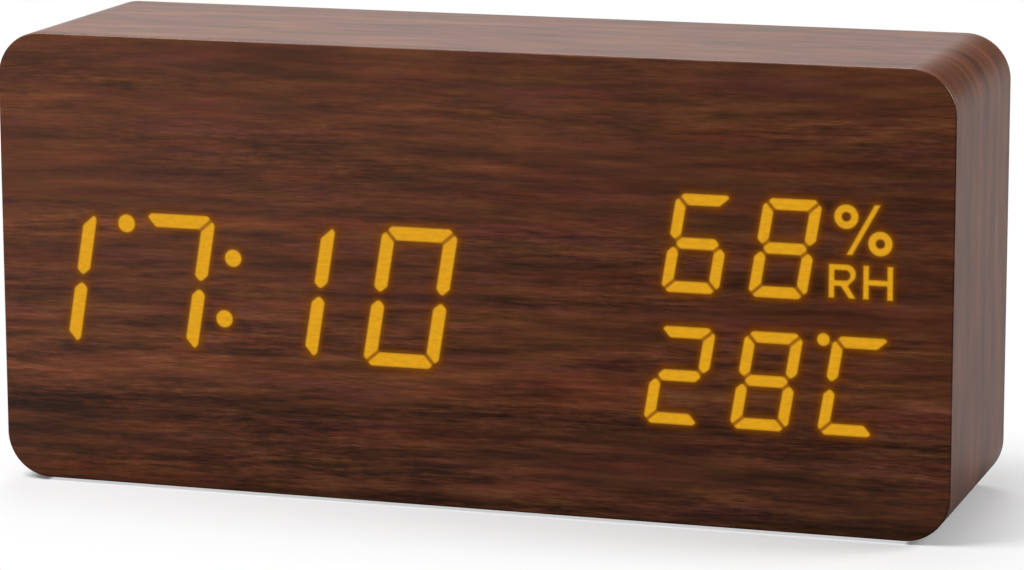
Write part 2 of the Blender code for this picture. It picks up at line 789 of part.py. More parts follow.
def add_face(shape, outline, holes, y):
    """Fills an outline at plane y, round the holes in it."""
    points, edges = [], []
    for loop in (outline, *holes):
        first = len(points)
        points += [Vector(p) for p in loop]
        edges += [(first + i, first + (i + 1) % len(loop)) for i in range(len(loop))]
    places, _, triangles, *_ = delaunay_2d_cdt(points, edges, [], 1, WELD_DISTANCE / 10)
    corners = [shape.verts.new((p.x, y, p.y)) for p in places]
    for triangle in triangles:
        middle = sum((places[i] for i in triangle), Vector((0, 0))) / 3
        if within(middle, outline) and not any(within(middle, h) for h in holes):
            shape.faces.new([corners[i] for i in triangle])


def add_wall(shape, outline, y, other_y):
    near = [shape.verts.new((x, y, z)) for x, z in outline]
    far = [shape.verts.new((x, other_y, z)) for x, z in outline]
    for i in range(len(outline)):
        j = (i + 1) % len(outline)
        shape.faces.new((near[i], near[j], far[j], far[i]))


def add_steps(shape, outline, y, steps, walls):
    add_face(shape, outline, [step.outline for step in steps], y)
    for step in steps:
        if not step.through:
            add_wall(shape, step.outline, y, step.y)
            add_steps(shape, step.outline, step.y, step.steps, walls)
        elif walls:
            add_wall(shape, step.outline, y, step.y)


def relief(name, finish, outline, front, back, front_steps=(), back_steps=(), **placed):
    """A plate between two planes, with raised and sunk steps on both faces.

    A hole right through is a Step with through set, in the lists of both sides. The one in the
    front list has the plane where the hole ends, and draws its wall.
    """
    shape = bmesh.new()
    add_wall(shape, outline, front, back)
    add_steps(shape, outline, front, front_steps, True)
    add_steps(shape, outline, back, back_steps, False)
    return place(name, mesh_from(shape, name), finish, **placed)


def turned(name, finish, profile, sides=ROUND_SIDES, **placed):
    """A profile of (radius, y) points turned round the Y axis. It starts and ends on the axis."""
    shape = bmesh.new()
    rings = []
    for radius, y in profile:
        if radius:
            points = [(x, y, z) for x, z in circle(0, 0, radius, sides)]
        else:
            points = [(0, y, 0)]
        rings.append([shape.verts.new(p) for p in points])
    for ring, other in zip(rings, rings[1:]):
        for i in range(sides):
            j = (i + 1) % sides
            corners = [ring[i % len(ring)], ring[j % len(ring)]]
            corners += [other[j % len(other)], other[i % len(other)]]
            shape.faces.new(list(dict.fromkeys(corners)))
    return place(name, mesh_from(shape, name), finish, **placed)


def cut(piece, name, outlines, near, far, **placed):
    """Cuts prisms out of a piece. They share one hidden cutter."""
    shape = bmesh.new()
    for outline in outlines:
        add_wall(shape, outline, near, far)
        add_face(shape, outline, [], near)
        add_face(shape, outline, [], far)
    cutter = place(name, mesh_from(shape, name), "fibreboard", **placed)
    cutter.hide_render = True
    cutter.display_type = "WIRE"
    modifier = piece.modifiers.new(name, "BOOLEAN")
    modifier.operation = "DIFFERENCE"
    modifier.solver = "EXACT"
    modifier.object = cutter


def smooth_route(points, spacing):
    """Points every spacing or so along a smooth curve through the route's own points."""
    route = [Vector(p) for p in points]
    padded = [2 * route[0] - route[1], *route, 2 * route[-1] - route[-2]]
    found = [route[0]]
    for before, start, end, after in zip(padded, padded[1:], padded[2:], padded[3:]):
        steps = max(1, round((end - start).length / spacing))
        for i in range(1, steps + 1):
            t = i / steps
            found.append(
                (
                    2 * start
                    + (end - before) * t
                    + (2 * before - 5 * start + 4 * end - after) * t**2
                    + (3 * start - before - 3 * end + after) * t**3
                )
                / 2
            )
    return found


def lead(name, finish, points, radius):
    """A round lead held at both ends."""
    curve = bpy.data.curves.new(name, "CURVE")
    curve.dimensions = "3D"
    curve.bevel_depth = radius
    curve.bevel_resolution = 1
    curve.use_fill_caps = True
    route = smooth_route(points, LEAD_POINT_DIAMETERS * 2 * radius)
    spline = curve.splines.new("POLY")
    spline.points.add(len(route) - 1)
    for target, point in zip(spline.points, route):
        target.co = (*point, 1)
    return place(name, curve, finish)


# Case


def reflector_window(signs):
    """The window in the core's front wall that a display module looks through."""
    cells = [cell for sign in signs for cell in sign.lit + sign.dark]
    return box_round(cells, REFLECTOR_WALL)


def post_height(windows):
    """The corner posts fill the room between the cavity's edge and the nearest flange."""
    low = min(z for window in windows for _, z in grown(window, REFLECTOR_FLANGE))
    return min(low - FIT_GAP - CAVITY_BOTTOM, MOST_POST_HEIGHT)


def cavity_outline(post):
    """The core's inside, less a post in each corner."""
    side = CAVITY_HALF_WIDTH
    inner = side - POST_WIDTH
    low, high = CAVITY_BOTTOM, CAVITY_TOP
    return [
        (-inner, low),
        (inner, low),
        (inner, low + post),
        (side, low + post),
        (side, high - post),
        (inner, high - post),
        (inner, high),
        (-inner, high),
        (-inner, high - post),
        (-side, high - post),
        (-side, low + post),
        (-inner, low + post),
    ]


def cover_screw_places(post):
    """One screw in each corner post, halfway up it."""
    across = COVER_HALF_WIDTH - COVER_SCREW_INSET
    heights = (CAVITY_BOTTOM + post / 2, CAVITY_TOP - post / 2)
    return [(x, z) for z in heights for x in (-across, across)]


def board_outline(post):
    """The display board fills the cavity between the rows of posts."""
    half = CAVITY_HALF_WIDTH - BOARD_SIDE_GAP
    return rectangle(
        -half, half, CAVITY_BOTTOM + post + FIT_GAP, CAVITY_TOP - post - FIT_GAP
    )


def board_screw_places(windows, board):
    """Two screws between the display modules and one above the time."""
    (left, bottom), _, (right, top), _ = board
    time_right = max(x for x, _ in windows[0])
    climate_left = min(x for x, _ in windows[1])
    between = (time_right + climate_left) / 2
    low, high = bottom + BOARD_SCREW_INSET, top - BOARD_SCREW_INSET
    half = (right - left) / 2
    return [(between, low), (between, high), (BOARD_SCREW_SIDE_SHARE * half, high)]


def make_case_core(windows, post, board_screws, cover_screws):
    holes = [Step(window, CORE_WALL_BACK, through=True) for window in windows]
    boss_top = BOARD_FRONT - FIT_GAP
    bosses = []
    for x, z in board_screws:
        pilot = Step(circle(x, z, SCREW_HOLE_RADIUS, HOLE_SIDES), CORE_WALL_BACK)
        bosses.append(Step(circle(x, z, BOSS_RADIUS), boss_top, [pilot]))
    cavity = Step(cavity_outline(post), CORE_WALL_BACK, holes + bosses)
    pilot_floor = COVER_OUTER - COUNTERBORE_DEPTH - COVER_SCREW_LENGTH - FIT_GAP
    pilots = [
        Step(circle(x, z, SCREW_HOLE_RADIUS, HOLE_SIDES), pilot_floor)
        for x, z in cover_screws
    ]
    recess = Step(case_outline(RECESS_INSET), LEDGE_PLANE, [cavity, *pilots])
    relief(
        "case_core",
        "fibreboard",
        case_outline(CORE_INSET),
        CORE_FRONT,
        REAR,
        holes,
        [recess],
    )


def foot_places():
    across = FOOT_SIDE_SHARE * CASE_WIDTH / 2
    along = FOOT_DEPTH_SHARE * CASE_DEPTH / 2
    return [(x, y) for y in (-along, along) for x in (-across, across)]


def make_case_wrap():
    """The veneer round the top, sides and bottom, with a hole for each foot."""
    inside = case_outline(VENEER_THICKNESS)
    front = VENEER_BACK + GLUE_LINE
    through = [Step(inside, REAR, through=True)]
    wrap = relief(
        "case_wrap", "walnut_veneer", case_outline(0), front, REAR, through, through
    )
    holes = [circle(x, y, FOOT_RADIUS + FIT_GAP, ROUND_SIDES) for x, y in foot_places()]
    low, high = BOTTOM - CUT_OVERRUN, BOTTOM + CORE_INSET
    # Turned so that the prisms' length runs down and their outlines lie in X and Y.
    cut(wrap, "foot_holes", holes, -high, -low, turn=(-90, 0, 0))


def make_front_veneer(signs):
    lit = [Step(cell, VENEER_BACK, through=True) for sign in signs for cell in sign.lit]
    relief(
        "front_veneer", "walnut_veneer", case_outline(0), FRONT, VENEER_BACK, lit, lit
    )


def make_feet():
    top = BOTTOM + CORE_INSET - FIT_GAP
    profile = [
        (0, 0),
        (FOOT_RADIUS - FOOT_EDGE, 0),
        (FOOT_RADIUS, FOOT_EDGE),
        (FOOT_RADIUS, top),
        (0, top),
    ]
    for number, (x, y) in enumerate(foot_places(), start=1):
        turned(
            f"foot_pad_{number}",
            "foot_rubber",
            profile,
            location=(x, y, 0),
            turn=(90, 0, 0),
        )


# Display


def make_reflector(name, signs, window):
    """A white block with a cell for each segment, open behind to the guides' slabs."""
    cells = [cell for sign in signs for cell in sign.lit + sign.dark]
    face = grown(window, -FIT_GAP)
    through = [Step(cell, POCKET_FLOOR, through=True) for cell in cells]
    pocket = box_round([sign.slab for sign in signs], FIT_GAP)
    relief(
        name,
        "white_plastic",
        grown(window, REFLECTOR_FLANGE),
        FLANGE_FRONT,
        REFLECTOR_BACK,
        [Step(face, REFLECTOR_FRONT, through)],
        [Step(pocket, POCKET_FLOOR, through)],
    )


def make_light_guide(sign):
    """A slab behind one sign, with a pillar through each cell. Lit pillars reach the front."""
    dark_end = REFLECTOR_FRONT + UNLIT_RECESS
    pillars = []
    for cell in sign.lit:
        inside = [
            Step(hole, SLAB_FRONT)
            for hole in sign.holes
            if within(hole[0], cell) or within(hole[0], box_round([cell]))
        ]
        pillars.append(Step(inset_outline(cell, GUIDE_GAP), FRONT, inside))
    pillars += [Step(inset_outline(cell, GUIDE_GAP), dark_end) for cell in sign.dark]
    relief(
        f"{sign.name}_guide",
        "amber_guide",
        sign.slab,
        SLAB_FRONT,
        SLAB_BACK,
        pillars,
    )


def make_display_board(signs, board, screws):
    """The board, with an LED under the middle of each cell."""
    leds = []
    for sign in signs:
        for cell in sign.lit + sign.dark:
            x = sum(x for x, _ in cell) / len(cell)
            z = sum(z for _, z in cell) / len(cell)
            chip = centred(x, z, LED_LENGTH, LED_WIDTH)
            leds.append(Step(chip, BOARD_FRONT - LED_HEIGHT))
    holes = [
        Step(circle(x, z, SCREW_HOLE_RADIUS, HOLE_SIDES), BOARD_BACK, through=True)
        for x, z in screws
    ]
    relief(
        "display_board",
        "circuit_board",
        board,
        BOARD_FRONT,
        BOARD_BACK,
        leds + holes,
        holes,
    )


def make_screw(name, x, z, seat, length):
    """A cross-head screw. Its head lies on the plane seat and its shank points to the front."""
    shank = circle(0, 0, SCREW_SHANK_RADIUS, HOLE_SIDES)
    tip = circle(0, 0, SCREW_TIP_RADIUS, HOLE_SIDES)
    point = Step(tip, -length)
    recess = cross_outline(SCREW_SLOT_LENGTH, SCREW_SLOT_WIDTH)
    relief(
        name,
        "steel",
        circle(0, 0, SCREW_HEAD_RADIUS),
        0,
        SCREW_HEAD_HEIGHT,
        [Step(shank, SCREW_TIP_LENGTH - length, [point])],
        [Step(recess, SCREW_HEAD_HEIGHT - SCREW_SLOT_DEPTH)],
        location=(x, seat, z),
    )


def make_board_parts(board):
    """What is soldered to the back of the display board."""
    (_, _), _, (half_width, top), _ = board
    half_height = top - MIDDLE
    chip_z = MIDDLE + CHIP_HEIGHT_SHARE * half_height
    for name, finish, share, size, thickness in (
        ("microcontroller", "chip_plastic", CHIP_SIDE_SHARE, (CHIP_SIDE, CHIP_SIDE), CHIP_THICKNESS),
        ("led_driver", "chip_plastic", DRIVER_SIDE_SHARE, DRIVER_SIZE, DRIVER_THICKNESS),
        ("clock_crystal", "steel", CRYSTAL_SIDE_SHARE, CRYSTAL_SIZE, CRYSTAL_THICKNESS),
    ):
        relief(
            name,
            finish,
            centred(0, 0, *size),
            0,
            thickness,
            location=(share * half_width, PARTS_FRONT, chip_z),
        )
    turned(
        "sounder",
        "chip_plastic",
        [
            (0, 0),
            (SOUNDER_RADIUS, 0),
            (SOUNDER_RADIUS, SOUNDER_THICKNESS - SOUNDER_EDGE),
            (SOUNDER_RADIUS - SOUNDER_EDGE, SOUNDER_THICKNESS),
            (SOUNDER_MOUTH_RADIUS, SOUNDER_THICKNESS),
            (SOUNDER_MOUTH_RADIUS, SOUNDER_THICKNESS - SOUNDER_MOUTH_DEPTH),
            (0, SOUNDER_THICKNESS - SOUNDER_MOUTH_DEPTH),
        ],
        location=(SOUNDER_X, PARTS_FRONT, SOUNDER_Z),
    )
    make_coin_cell(
        HOLDER_SIDE_SHARE * half_width, MIDDLE + HOLDER_HEIGHT_SHARE * half_height
    )


def make_coin_cell(x, z):
    """A round holder, open behind, and the cell in it."""
    inner = COIN_RADIUS + FIT_GAP
    outer = inner + HOLDER_WALL
    depth = HOLDER_FLOOR + FIT_GAP + COIN_THICKNESS
    relief(
        "coin_cell_holder",
        "black_plastic",
        circle(0, 0, outer, ROUND_SIDES),
        0,
        depth,
        back_steps=[Step(circle(0, 0, inner, ROUND_SIDES), HOLDER_FLOOR)],
        location=(x, PARTS_FRONT, z),
    )
    profile = [
        (0, 0),
        (COIN_RADIUS - COIN_STEP, 0),
        (COIN_RADIUS - COIN_STEP, COIN_STEP / 2),
        (COIN_RADIUS, COIN_STEP),
        (COIN_RADIUS, COIN_THICKNESS),
        (0, COIN_THICKNESS),
    ]
    seat = PARTS_FRONT + HOLDER_FLOOR + FIT_GAP
    turned("coin_cell", "steel", profile, location=(x, seat, z))


# Rear cover and what it carries


def bay_box(margin):
    return rectangle(
        BAY_X - BAY_HALF_WIDTH - margin,
        BAY_X + BAY_HALF_WIDTH + margin,
        BAY_BOTTOM - margin,
        BAY_TOP + margin,
    )


def cell_height(place):
    """The height of a cell's axis, counted from the lowest cell."""
    return BAY_TOP - BAY_TOP_ROOM - CELL_PITCH * (CELL_COUNT - place - 1 / 2)


def bay_ribs():
    """Low ribs on the bay's floor that keep the cells apart."""
    length = 2 * BAY_HALF_WIDTH * BAY_RIB_LENGTH_SHARE
    top = BAY_FLOOR_PLANE + BAY_RIB_HEIGHT
    ribs = []
    for place in range(CELL_COUNT - 1):
        z = cell_height(place) + CELL_PITCH / 2
        ribs.append(Step(centred(BAY_X, z, length, BAY_RIB_WIDTH), top))
    return ribs


def grille_holes():
    places = circle(SOUNDER_X, SOUNDER_Z, GRILLE_RING_RADIUS, GRILLE_RING_HOLES)
    places.append((SOUNDER_X, SOUNDER_Z))
    return [circle(x, z, GRILLE_HOLE_RADIUS, HOLE_SIDES) for x, z in places]


def vent_slots():
    lowest = BUTTON_Z - VENT_PITCH * (VENT_COUNT - 1) / 2
    heights = [lowest + VENT_PITCH * i for i in range(VENT_COUNT)]
    return [slot_outline(SENSOR_X, z, VENT_LENGTH, VENT_WIDTH) for z in heights]


def make_rear_cover(screws):
    """A plate with the battery bay, the jack's cradle and the button board's posts behind it."""
    holes = [circle(x, BUTTON_Z, BUTTON_RADIUS + SLIDE_GAP, ROUND_SIDES) for x in BUTTON_XS]
    holes += grille_holes() + vent_slots()
    plain = [Step(hole, COVER_OUTER, through=True) for hole in holes]

    screw_holes = []
    counterbores = []
    floor = COVER_OUTER - COUNTERBORE_DEPTH
    for x, z in screws:
        hole = Step(circle(x, z, SCREW_HOLE_RADIUS, HOLE_SIDES), floor, through=True)
        screw_holes.append(hole)
        counterbores.append(Step(circle(x, z, COUNTERBORE_RADIUS), floor, [hole]))

    mouth_outline = circle(JACK_X, JACK_Z, JACK_MOUTH_RADIUS, ROUND_SIDES)
    mouth = Step(mouth_outline, COVER_OUTER, through=True)
    cradle_inside = Step(
        centred(JACK_X, JACK_Z, JACK_WIDTH + 2 * FIT_GAP, JACK_HEIGHT + 2 * FIT_GAP),
        COVER_INNER,
        [mouth],
    )
    cradle = Step(
        grown(cradle_inside.outline, JACK_CRADLE_WALL),
        COVER_INNER - JACK_CRADLE_DEPTH,
        [cradle_inside],
    )

    posts = []
    for x in COVER_POST_XS:
        pin = Step(
            circle(x, COVER_POST_Z, COVER_PIN_RADIUS, HOLE_SIDES),
            BUTTON_BOARD_FRONT - COVER_PIN_PROUD,
        )
        post_end = BUTTON_BOARD_REAR + FIT_GAP
        posts.append(Step(circle(x, COVER_POST_Z, COVER_POST_RADIUS), post_end, [pin]))

    bay = Step(bay_box(BAY_WALL), BAY_OUTER_PLANE)
    bay_inside = Step(bay_box(0), BAY_FLOOR_PLANE, bay_ribs())
    rebate_outline = rectangle(
        BAY_X - BAY_HALF_WIDTH - DOOR_LEDGE,
        BAY_X + BAY_HALF_WIDTH + DOOR_LEDGE,
        BAY_BOTTOM - DOOR_HINGE_STEP,
        BAY_TOP + DOOR_LEDGE,
    )
    rebate = Step(rebate_outline, DOOR_SEAT, [bay_inside])

    cover = relief(
        "rear_cover",
        "black_plastic",
        case_outline(COVER_INSET),
        COVER_INNER,
        COVER_OUTER,
        plain + screw_holes + [bay, cradle] + posts,
        plain + counterbores + [mouth, rebate],
    )
    reach = DOOR_HALF_WIDTH + DOOR_PIN_LENGTH + FIT_GAP
    socket = circle(0, 0, DOOR_PIN_RADIUS + DOOR_PIN_GAP, HOLE_SIDES)
    hinge = (BAY_X, HINGE_Y, HINGE_Z)
    cut(cover, "hinge_sockets", [socket], -reach, reach, location=hinge, turn=(0, 0, 90))
    reach = DOOR_HALF_WIDTH + FIT_GAP
    room = circle(0, 0, DOOR_BARREL_RADIUS + DOOR_PIN_GAP, ROUND_SIDES)
    cut(cover, "barrel_room", [room], -reach, reach, location=hinge, turn=(0, 0, 90))
    slot = centred(0, 0, TAB_THICKNESS + 2 * FIT_GAP, TAB_WIDTH + 2 * FIT_GAP)
    reach = BAY_HALF_WIDTH + BAY_WALL + CUT_OVERRUN
    for name, side, place in (("negative_slot", -1, 0), ("positive_slot", 1, CELL_COUNT - 1)):
        start = BAY_HALF_WIDTH - CONTACT_THICKNESS
        near, far = sorted((-side * start, -side * reach))
        middle = (BAY_X, CELL_AXIS_Y, cell_height(place))
        cut(cover, name, [slot], near, far, location=middle, turn=(0, 0, 90))


def make_cells():
    """Three cells, each the other way round to the one below it."""
    half = CELL_LENGTH / 2
    body = half - CELL_NUB_LENGTH
    profile = [
        (0, -half),
        (CELL_RADIUS - CELL_EDGE, -half),
        (CELL_RADIUS, CELL_EDGE - half),
        (CELL_RADIUS, body - CELL_EDGE),
        (CELL_RADIUS - CELL_EDGE, body),
        (CELL_NUB_RADIUS, body),
        (CELL_NUB_RADIUS, half),
        (0, half),
    ]
    shift = (CONTACT_SPRING_LENGTH - CONTACT_BUMP_HEIGHT) / 2
    for place in range(CELL_COUNT):
        # The nub points right on the lowest cell, away from its spring at the left.
        nub_right = place % 2 == 0
        turn = -90 if nub_right else 90
        x = BAY_X + (shift if nub_right else -shift)
        turned(
            f"battery_{place + 1}",
            "cell_wrap",
            profile,
            location=(x, CELL_AXIS_Y, cell_height(place)),
            turn=(0, 0, turn),
        )


def spring_steps(z, start, length):
    """A tapered contact spring, drawn as a stack of ever smaller rings from plane start."""
    step = None
    for coil in reversed(range(CONTACT_SPRING_COILS)):
        share = coil / (CONTACT_SPRING_COILS - 1)
        radius = CONTACT_SPRING_RADIUS * (1 - (1 - CONTACT_SPRING_TAPER_SHARE) * share)
        plane = start + length * (coil + 1) / CONTACT_SPRING_COILS
        step = Step(circle(0, z, radius), plane, [step] if step else [])
    return step


def make_contact(name, side, places, springs, tab):
    """A contact plate at one end of the bay, touching the cells in places."""
    low, high = cell_height(places[0]), cell_height(places[-1])
    middle = (low + high) / 2
    plate = centred(0, 0, CONTACT_DEPTH, high - low + CONTACT_HEIGHT)
    steps = []
    for place in places:
        z = cell_height(place) - middle
        if place in springs:
            steps.append(spring_steps(z, CONTACT_THICKNESS, CONTACT_SPRING_LENGTH))
        else:
            bump = CONTACT_THICKNESS + CONTACT_BUMP_HEIGHT
            steps.append(Step(circle(0, z, CONTACT_BUMP_RADIUS), bump))
    outside = []
    if tab:
        reach = FIT_GAP + BAY_WALL + TAB_REACH
        outside.append(Step(centred(0, 0, TAB_THICKNESS, TAB_WIDTH), -reach))
    relief(
        name,
        "steel",
        plate,
        0,
        CONTACT_THICKNESS,
        outside,
        steps,
        location=(
            BAY_X + side * (BAY_HALF_WIDTH - FIT_GAP),
            CELL_AXIS_Y,
            middle,
        ),
        turn=(0, 0, 90 if side > 0 else -90),
    )


def make_contacts():
    """Springs touch the flat ends, and each link joins a nub to the next cell's flat end."""
    last = CELL_COUNT - 1
    make_contact("battery_contact_negative", -1, [0], [0], True)
    make_contact("battery_link_right", 1, [0, 1], [1], False)
    make_contact("battery_link_left", -1, [1, last], [last], False)
    make_contact("battery_contact_positive", 1, [last], [], True)


def make_battery_door():
    """A door that turns on two stub pins along its lower edge. Its origin is on their axis."""
    radius = DOOR_BARREL_RADIUS
    top = DOOR_TOP - HINGE_Z
    inner = radius - DOOR_THICKNESS
    meets = math.degrees(math.acos(inner / radius))
    # Seen along the pins: across is outwards from the clock, up is up.
    profile = [(inner, top)]
    profile += arc(0, 0, radius, meets, 360, 2 * CORNER_STEPS)
    profile += [(radius, top)]
    pin_end = DOOR_HALF_WIDTH + DOOR_PIN_LENGTH
    pin = circle(0, 0, DOOR_PIN_RADIUS, HOLE_SIDES)
    door = relief(
        "battery_door",
        "black_plastic",
        profile,
        -DOOR_HALF_WIDTH,
        DOOR_HALF_WIDTH,
        [Step(pin, -pin_end)],
        [Step(pin, pin_end)],
        location=(BAY_X, HINGE_Y, HINGE_Z),
        turn=(0, 0, 90),
    )
    scoop_axis = radius + GRIP_RADIUS - GRIP_DEPTH
    scoop = circle(scoop_axis, top - GRIP_INSET, GRIP_RADIUS, ROUND_SIDES)
    half = GRIP_LENGTH / 2
    hinge = (BAY_X, HINGE_Y, HINGE_Z)
    cut(door, "finger_grip", [scoop], -half, half, location=hinge, turn=(0, 0, 90))


def make_buttons():
    """Each button with its switch and the switch's plunger, which moves with the button."""
    cap = [
        (0, BUTTON_OUTER - BUTTON_DISH_DEPTH),
        (BUTTON_DISH_RADIUS, BUTTON_OUTER),
        (BUTTON_RADIUS - BUTTON_EDGE, BUTTON_OUTER),
        (BUTTON_RADIUS, BUTTON_OUTER - BUTTON_EDGE),
        (BUTTON_RADIUS, BUTTON_FLANGE_BACK),
        (BUTTON_FLANGE_RADIUS, BUTTON_FLANGE_BACK),
        (BUTTON_FLANGE_RADIUS, BUTTON_INNER),
        (0, BUTTON_INNER),
    ]
    cap = [(radius, y - BUTTON_OUTER) for radius, y in reversed(cap)]
    plunger = [
        (0, -PLUNGER_LENGTH),
        (PLUNGER_RADIUS, -PLUNGER_LENGTH),
        (PLUNGER_RADIUS, 0),
        (0, 0),
    ]
    bore = circle(0, 0, PLUNGER_RADIUS + SLIDE_GAP, DOT_SIDES)
    sunk = PLUNGER_LENGTH - PLUNGER_PROUD + BUTTON_TRAVEL + FIT_GAP
    for name, x in zip(("set", "up", "down"), BUTTON_XS):
        top = (x, BUTTON_OUTER, BUTTON_Z)
        turned(f"{name}_button", "button_plastic", cap, location=top)
        turned(
            f"{name}_plunger",
            "white_plastic",
            plunger,
            DOT_SIDES,
            location=(x, PLUNGER_REAR, BUTTON_Z),
        )
        relief(
            f"{name}_switch",
            "chip_plastic",
            centred(0, 0, SWITCH_SIDE, SWITCH_SIDE),
            -SWITCH_THICKNESS,
            0,
            back_steps=[Step(bore, -sunk)],
            location=(x, SWITCH_REAR, BUTTON_Z),
        )


def make_button_board():
    """The board behind the buttons, on three pins of the rear cover, and its sensor."""
    outline = rectangle(
        BUTTON_XS[0] - BUTTON_BOARD_MARGIN,
        SENSOR_X + BUTTON_BOARD_MARGIN,
        BUTTON_Z - BUTTON_BOARD_LOWER_HEIGHT,
        COVER_POST_Z + COVER_POST_RADIUS,
    )
    radius = COVER_PIN_RADIUS + FIT_GAP
    holes = [
        Step(circle(x, COVER_POST_Z, radius, HOLE_SIDES), BUTTON_BOARD_REAR, through=True)
        for x in COVER_POST_XS
    ]
    relief(
        "button_board",
        "circuit_board",
        outline,
        BUTTON_BOARD_FRONT,
        BUTTON_BOARD_REAR,
        holes,
        holes,
    )
    mouth = circle(0, 0, SENSOR_MOUTH_RADIUS, HOLE_SIDES)
    relief(
        "humidity_sensor",
        "white_plastic",
        centred(0, 0, SENSOR_WIDTH, SENSOR_HEIGHT),
        0,
        SENSOR_THICKNESS,
        back_steps=[Step(mouth, SENSOR_THICKNESS / 2)],
        location=(SENSOR_X, BUTTON_BOARD_REAR + FIT_GAP, BUTTON_Z),
    )


def make_power_jack():
    """A barrel jack: a block with a round bore and a centre pin."""
    pin = Step(circle(0, 0, JACK_PIN_RADIUS, HOLE_SIDES), -JACK_PIN_SHORT)
    bore = Step(circle(0, 0, JACK_BORE_RADIUS, ROUND_SIDES), -JACK_BORE_DEPTH, [pin])
    relief(
        "power_jack",
        "black_plastic",
        centred(0, 0, JACK_WIDTH, JACK_HEIGHT),
        -JACK_LENGTH,
        0,
        back_steps=[bore],
        location=(JACK_X, JACK_REAR, JACK_Z),
    )


# Leads inside the case


def make_leads():
    board = BOARD_BACK + FIT_GAP
    for name, finish, side, place in (
        ("battery_lead_negative", "lead_black", -1, 0),
        ("battery_lead_positive", "lead_red", 1, CELL_COUNT - 1),
    ):
        first = BAY_X + side * (TAB_END + FIT_GAP)
        start = Vector((first, CELL_AXIS_Y, cell_height(place)))
        out = Vector((side * LEAD_STRAIGHT, 0, 0))
        inwards = Vector((0, LEAD_STRAIGHT, 0))
        end = Vector((start.x + out.x, board, start.z))
        bulge = end.x + out.x * LEAD_BULGE_SHARE
        halfway = Vector((bulge, (start.y + end.y) / 2, start.z))
        route = [start, start + out - inwards / 2, halfway, end + inwards, end]
        lead(name, finish, route, LEAD_RADIUS)
    start = Vector((JACK_X, JACK_FRONT - FIT_GAP, JACK_Z))
    inwards = Vector((0, LEAD_STRAIGHT, 0))
    end = Vector((JACK_X - JACK_WIDTH, board, JACK_Z))
    middle = (start + end) / 2
    route = [start, start - inwards, middle, end + inwards, end]
    lead("power_lead", "lead_black", route, POWER_LEAD_RADIUS)
    make_ribbon(board)


def make_ribbon(board):
    """A flat ribbon from the button board's face to the display board, bent once sideways."""
    rear = BUTTON_BOARD_FRONT - FIT_GAP
    x = (BUTTON_XS[0] + COVER_POST_XS[0]) / 2
    half = RIBBON_THICKNESS / 2
    bend = RIBBON_BEND_SHARE * (rear - board)
    middle = (rear + board) / 2
    line = [
        (x, rear),
        (x, rear - bend / 2),
        (x - bend / 2, middle + bend / 4),
        (x - bend / 2, middle - bend / 4),
        (x, board + bend / 2),
        (x, board),
    ]
    outline = [(a + half, b) for a, b in line] + [(a - half, b) for a, b in reversed(line)]
    # Drawn flat in X and Y, and turned so that the ribbon's width runs up.
    low, high = BUTTON_Z - RIBBON_WIDTH / 2, BUTTON_Z + RIBBON_WIDTH / 2
    relief(
        "button_ribbon",
        "ribbon_grey",
        outline,
        -high,
        -low,
        turn=(-90, 0, 0),
    )


def clear_scene():
    for old in list(bpy.data.objects):
        bpy.data.objects.remove(old)


def main():
    clear_scene()
    time, climate = time_signs(), climate_signs()
    windows = [reflector_window(time), reflector_window(climate)]
    post = post_height(windows)
    board = board_outline(post)
    board_screws = board_screw_places(windows, board)
    cover_screws = cover_screw_places(post)

    make_case_core(windows, post, board_screws, cover_screws)
    make_case_wrap()
    make_front_veneer(time + climate)
    make_feet()

    make_reflector("time_reflector", time, windows[0])
    make_reflector("climate_reflector", climate, windows[1])
    for sign in time + climate:
        make_light_guide(sign)
    make_display_board(time + climate, board, board_screws)
    make_board_parts(board)
    for number, (x, z) in enumerate(board_screws, start=1):
        make_screw(f"board_screw_{number}", x, z, BOARD_BACK + FIT_GAP, BOARD_SCREW_LENGTH)

    make_rear_cover(cover_screws)
    cover_seat = COVER_OUTER - COUNTERBORE_DEPTH + GUIDE_GAP
    for number, (x, z) in enumerate(cover_screws, start=1):
        make_screw(f"cover_screw_{number}", x, z, cover_seat, COVER_SCREW_LENGTH)
    make_cells()
    make_contacts()
    make_battery_door()
    make_buttons()
    make_button_board()
    make_power_jack()
    make_leads()


main()
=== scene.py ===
"""The looks of a walnut LED clock with humidity and temperature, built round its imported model.

Metres, +Z up. The front faces -Y, and +X is to the right of someone who reads the clock.
"""

import json
import math

import bmesh
import bpy
import numpy as np
from mathutils import Matrix, Vector
from mathutils.geometry import delaunay_2d_cdt

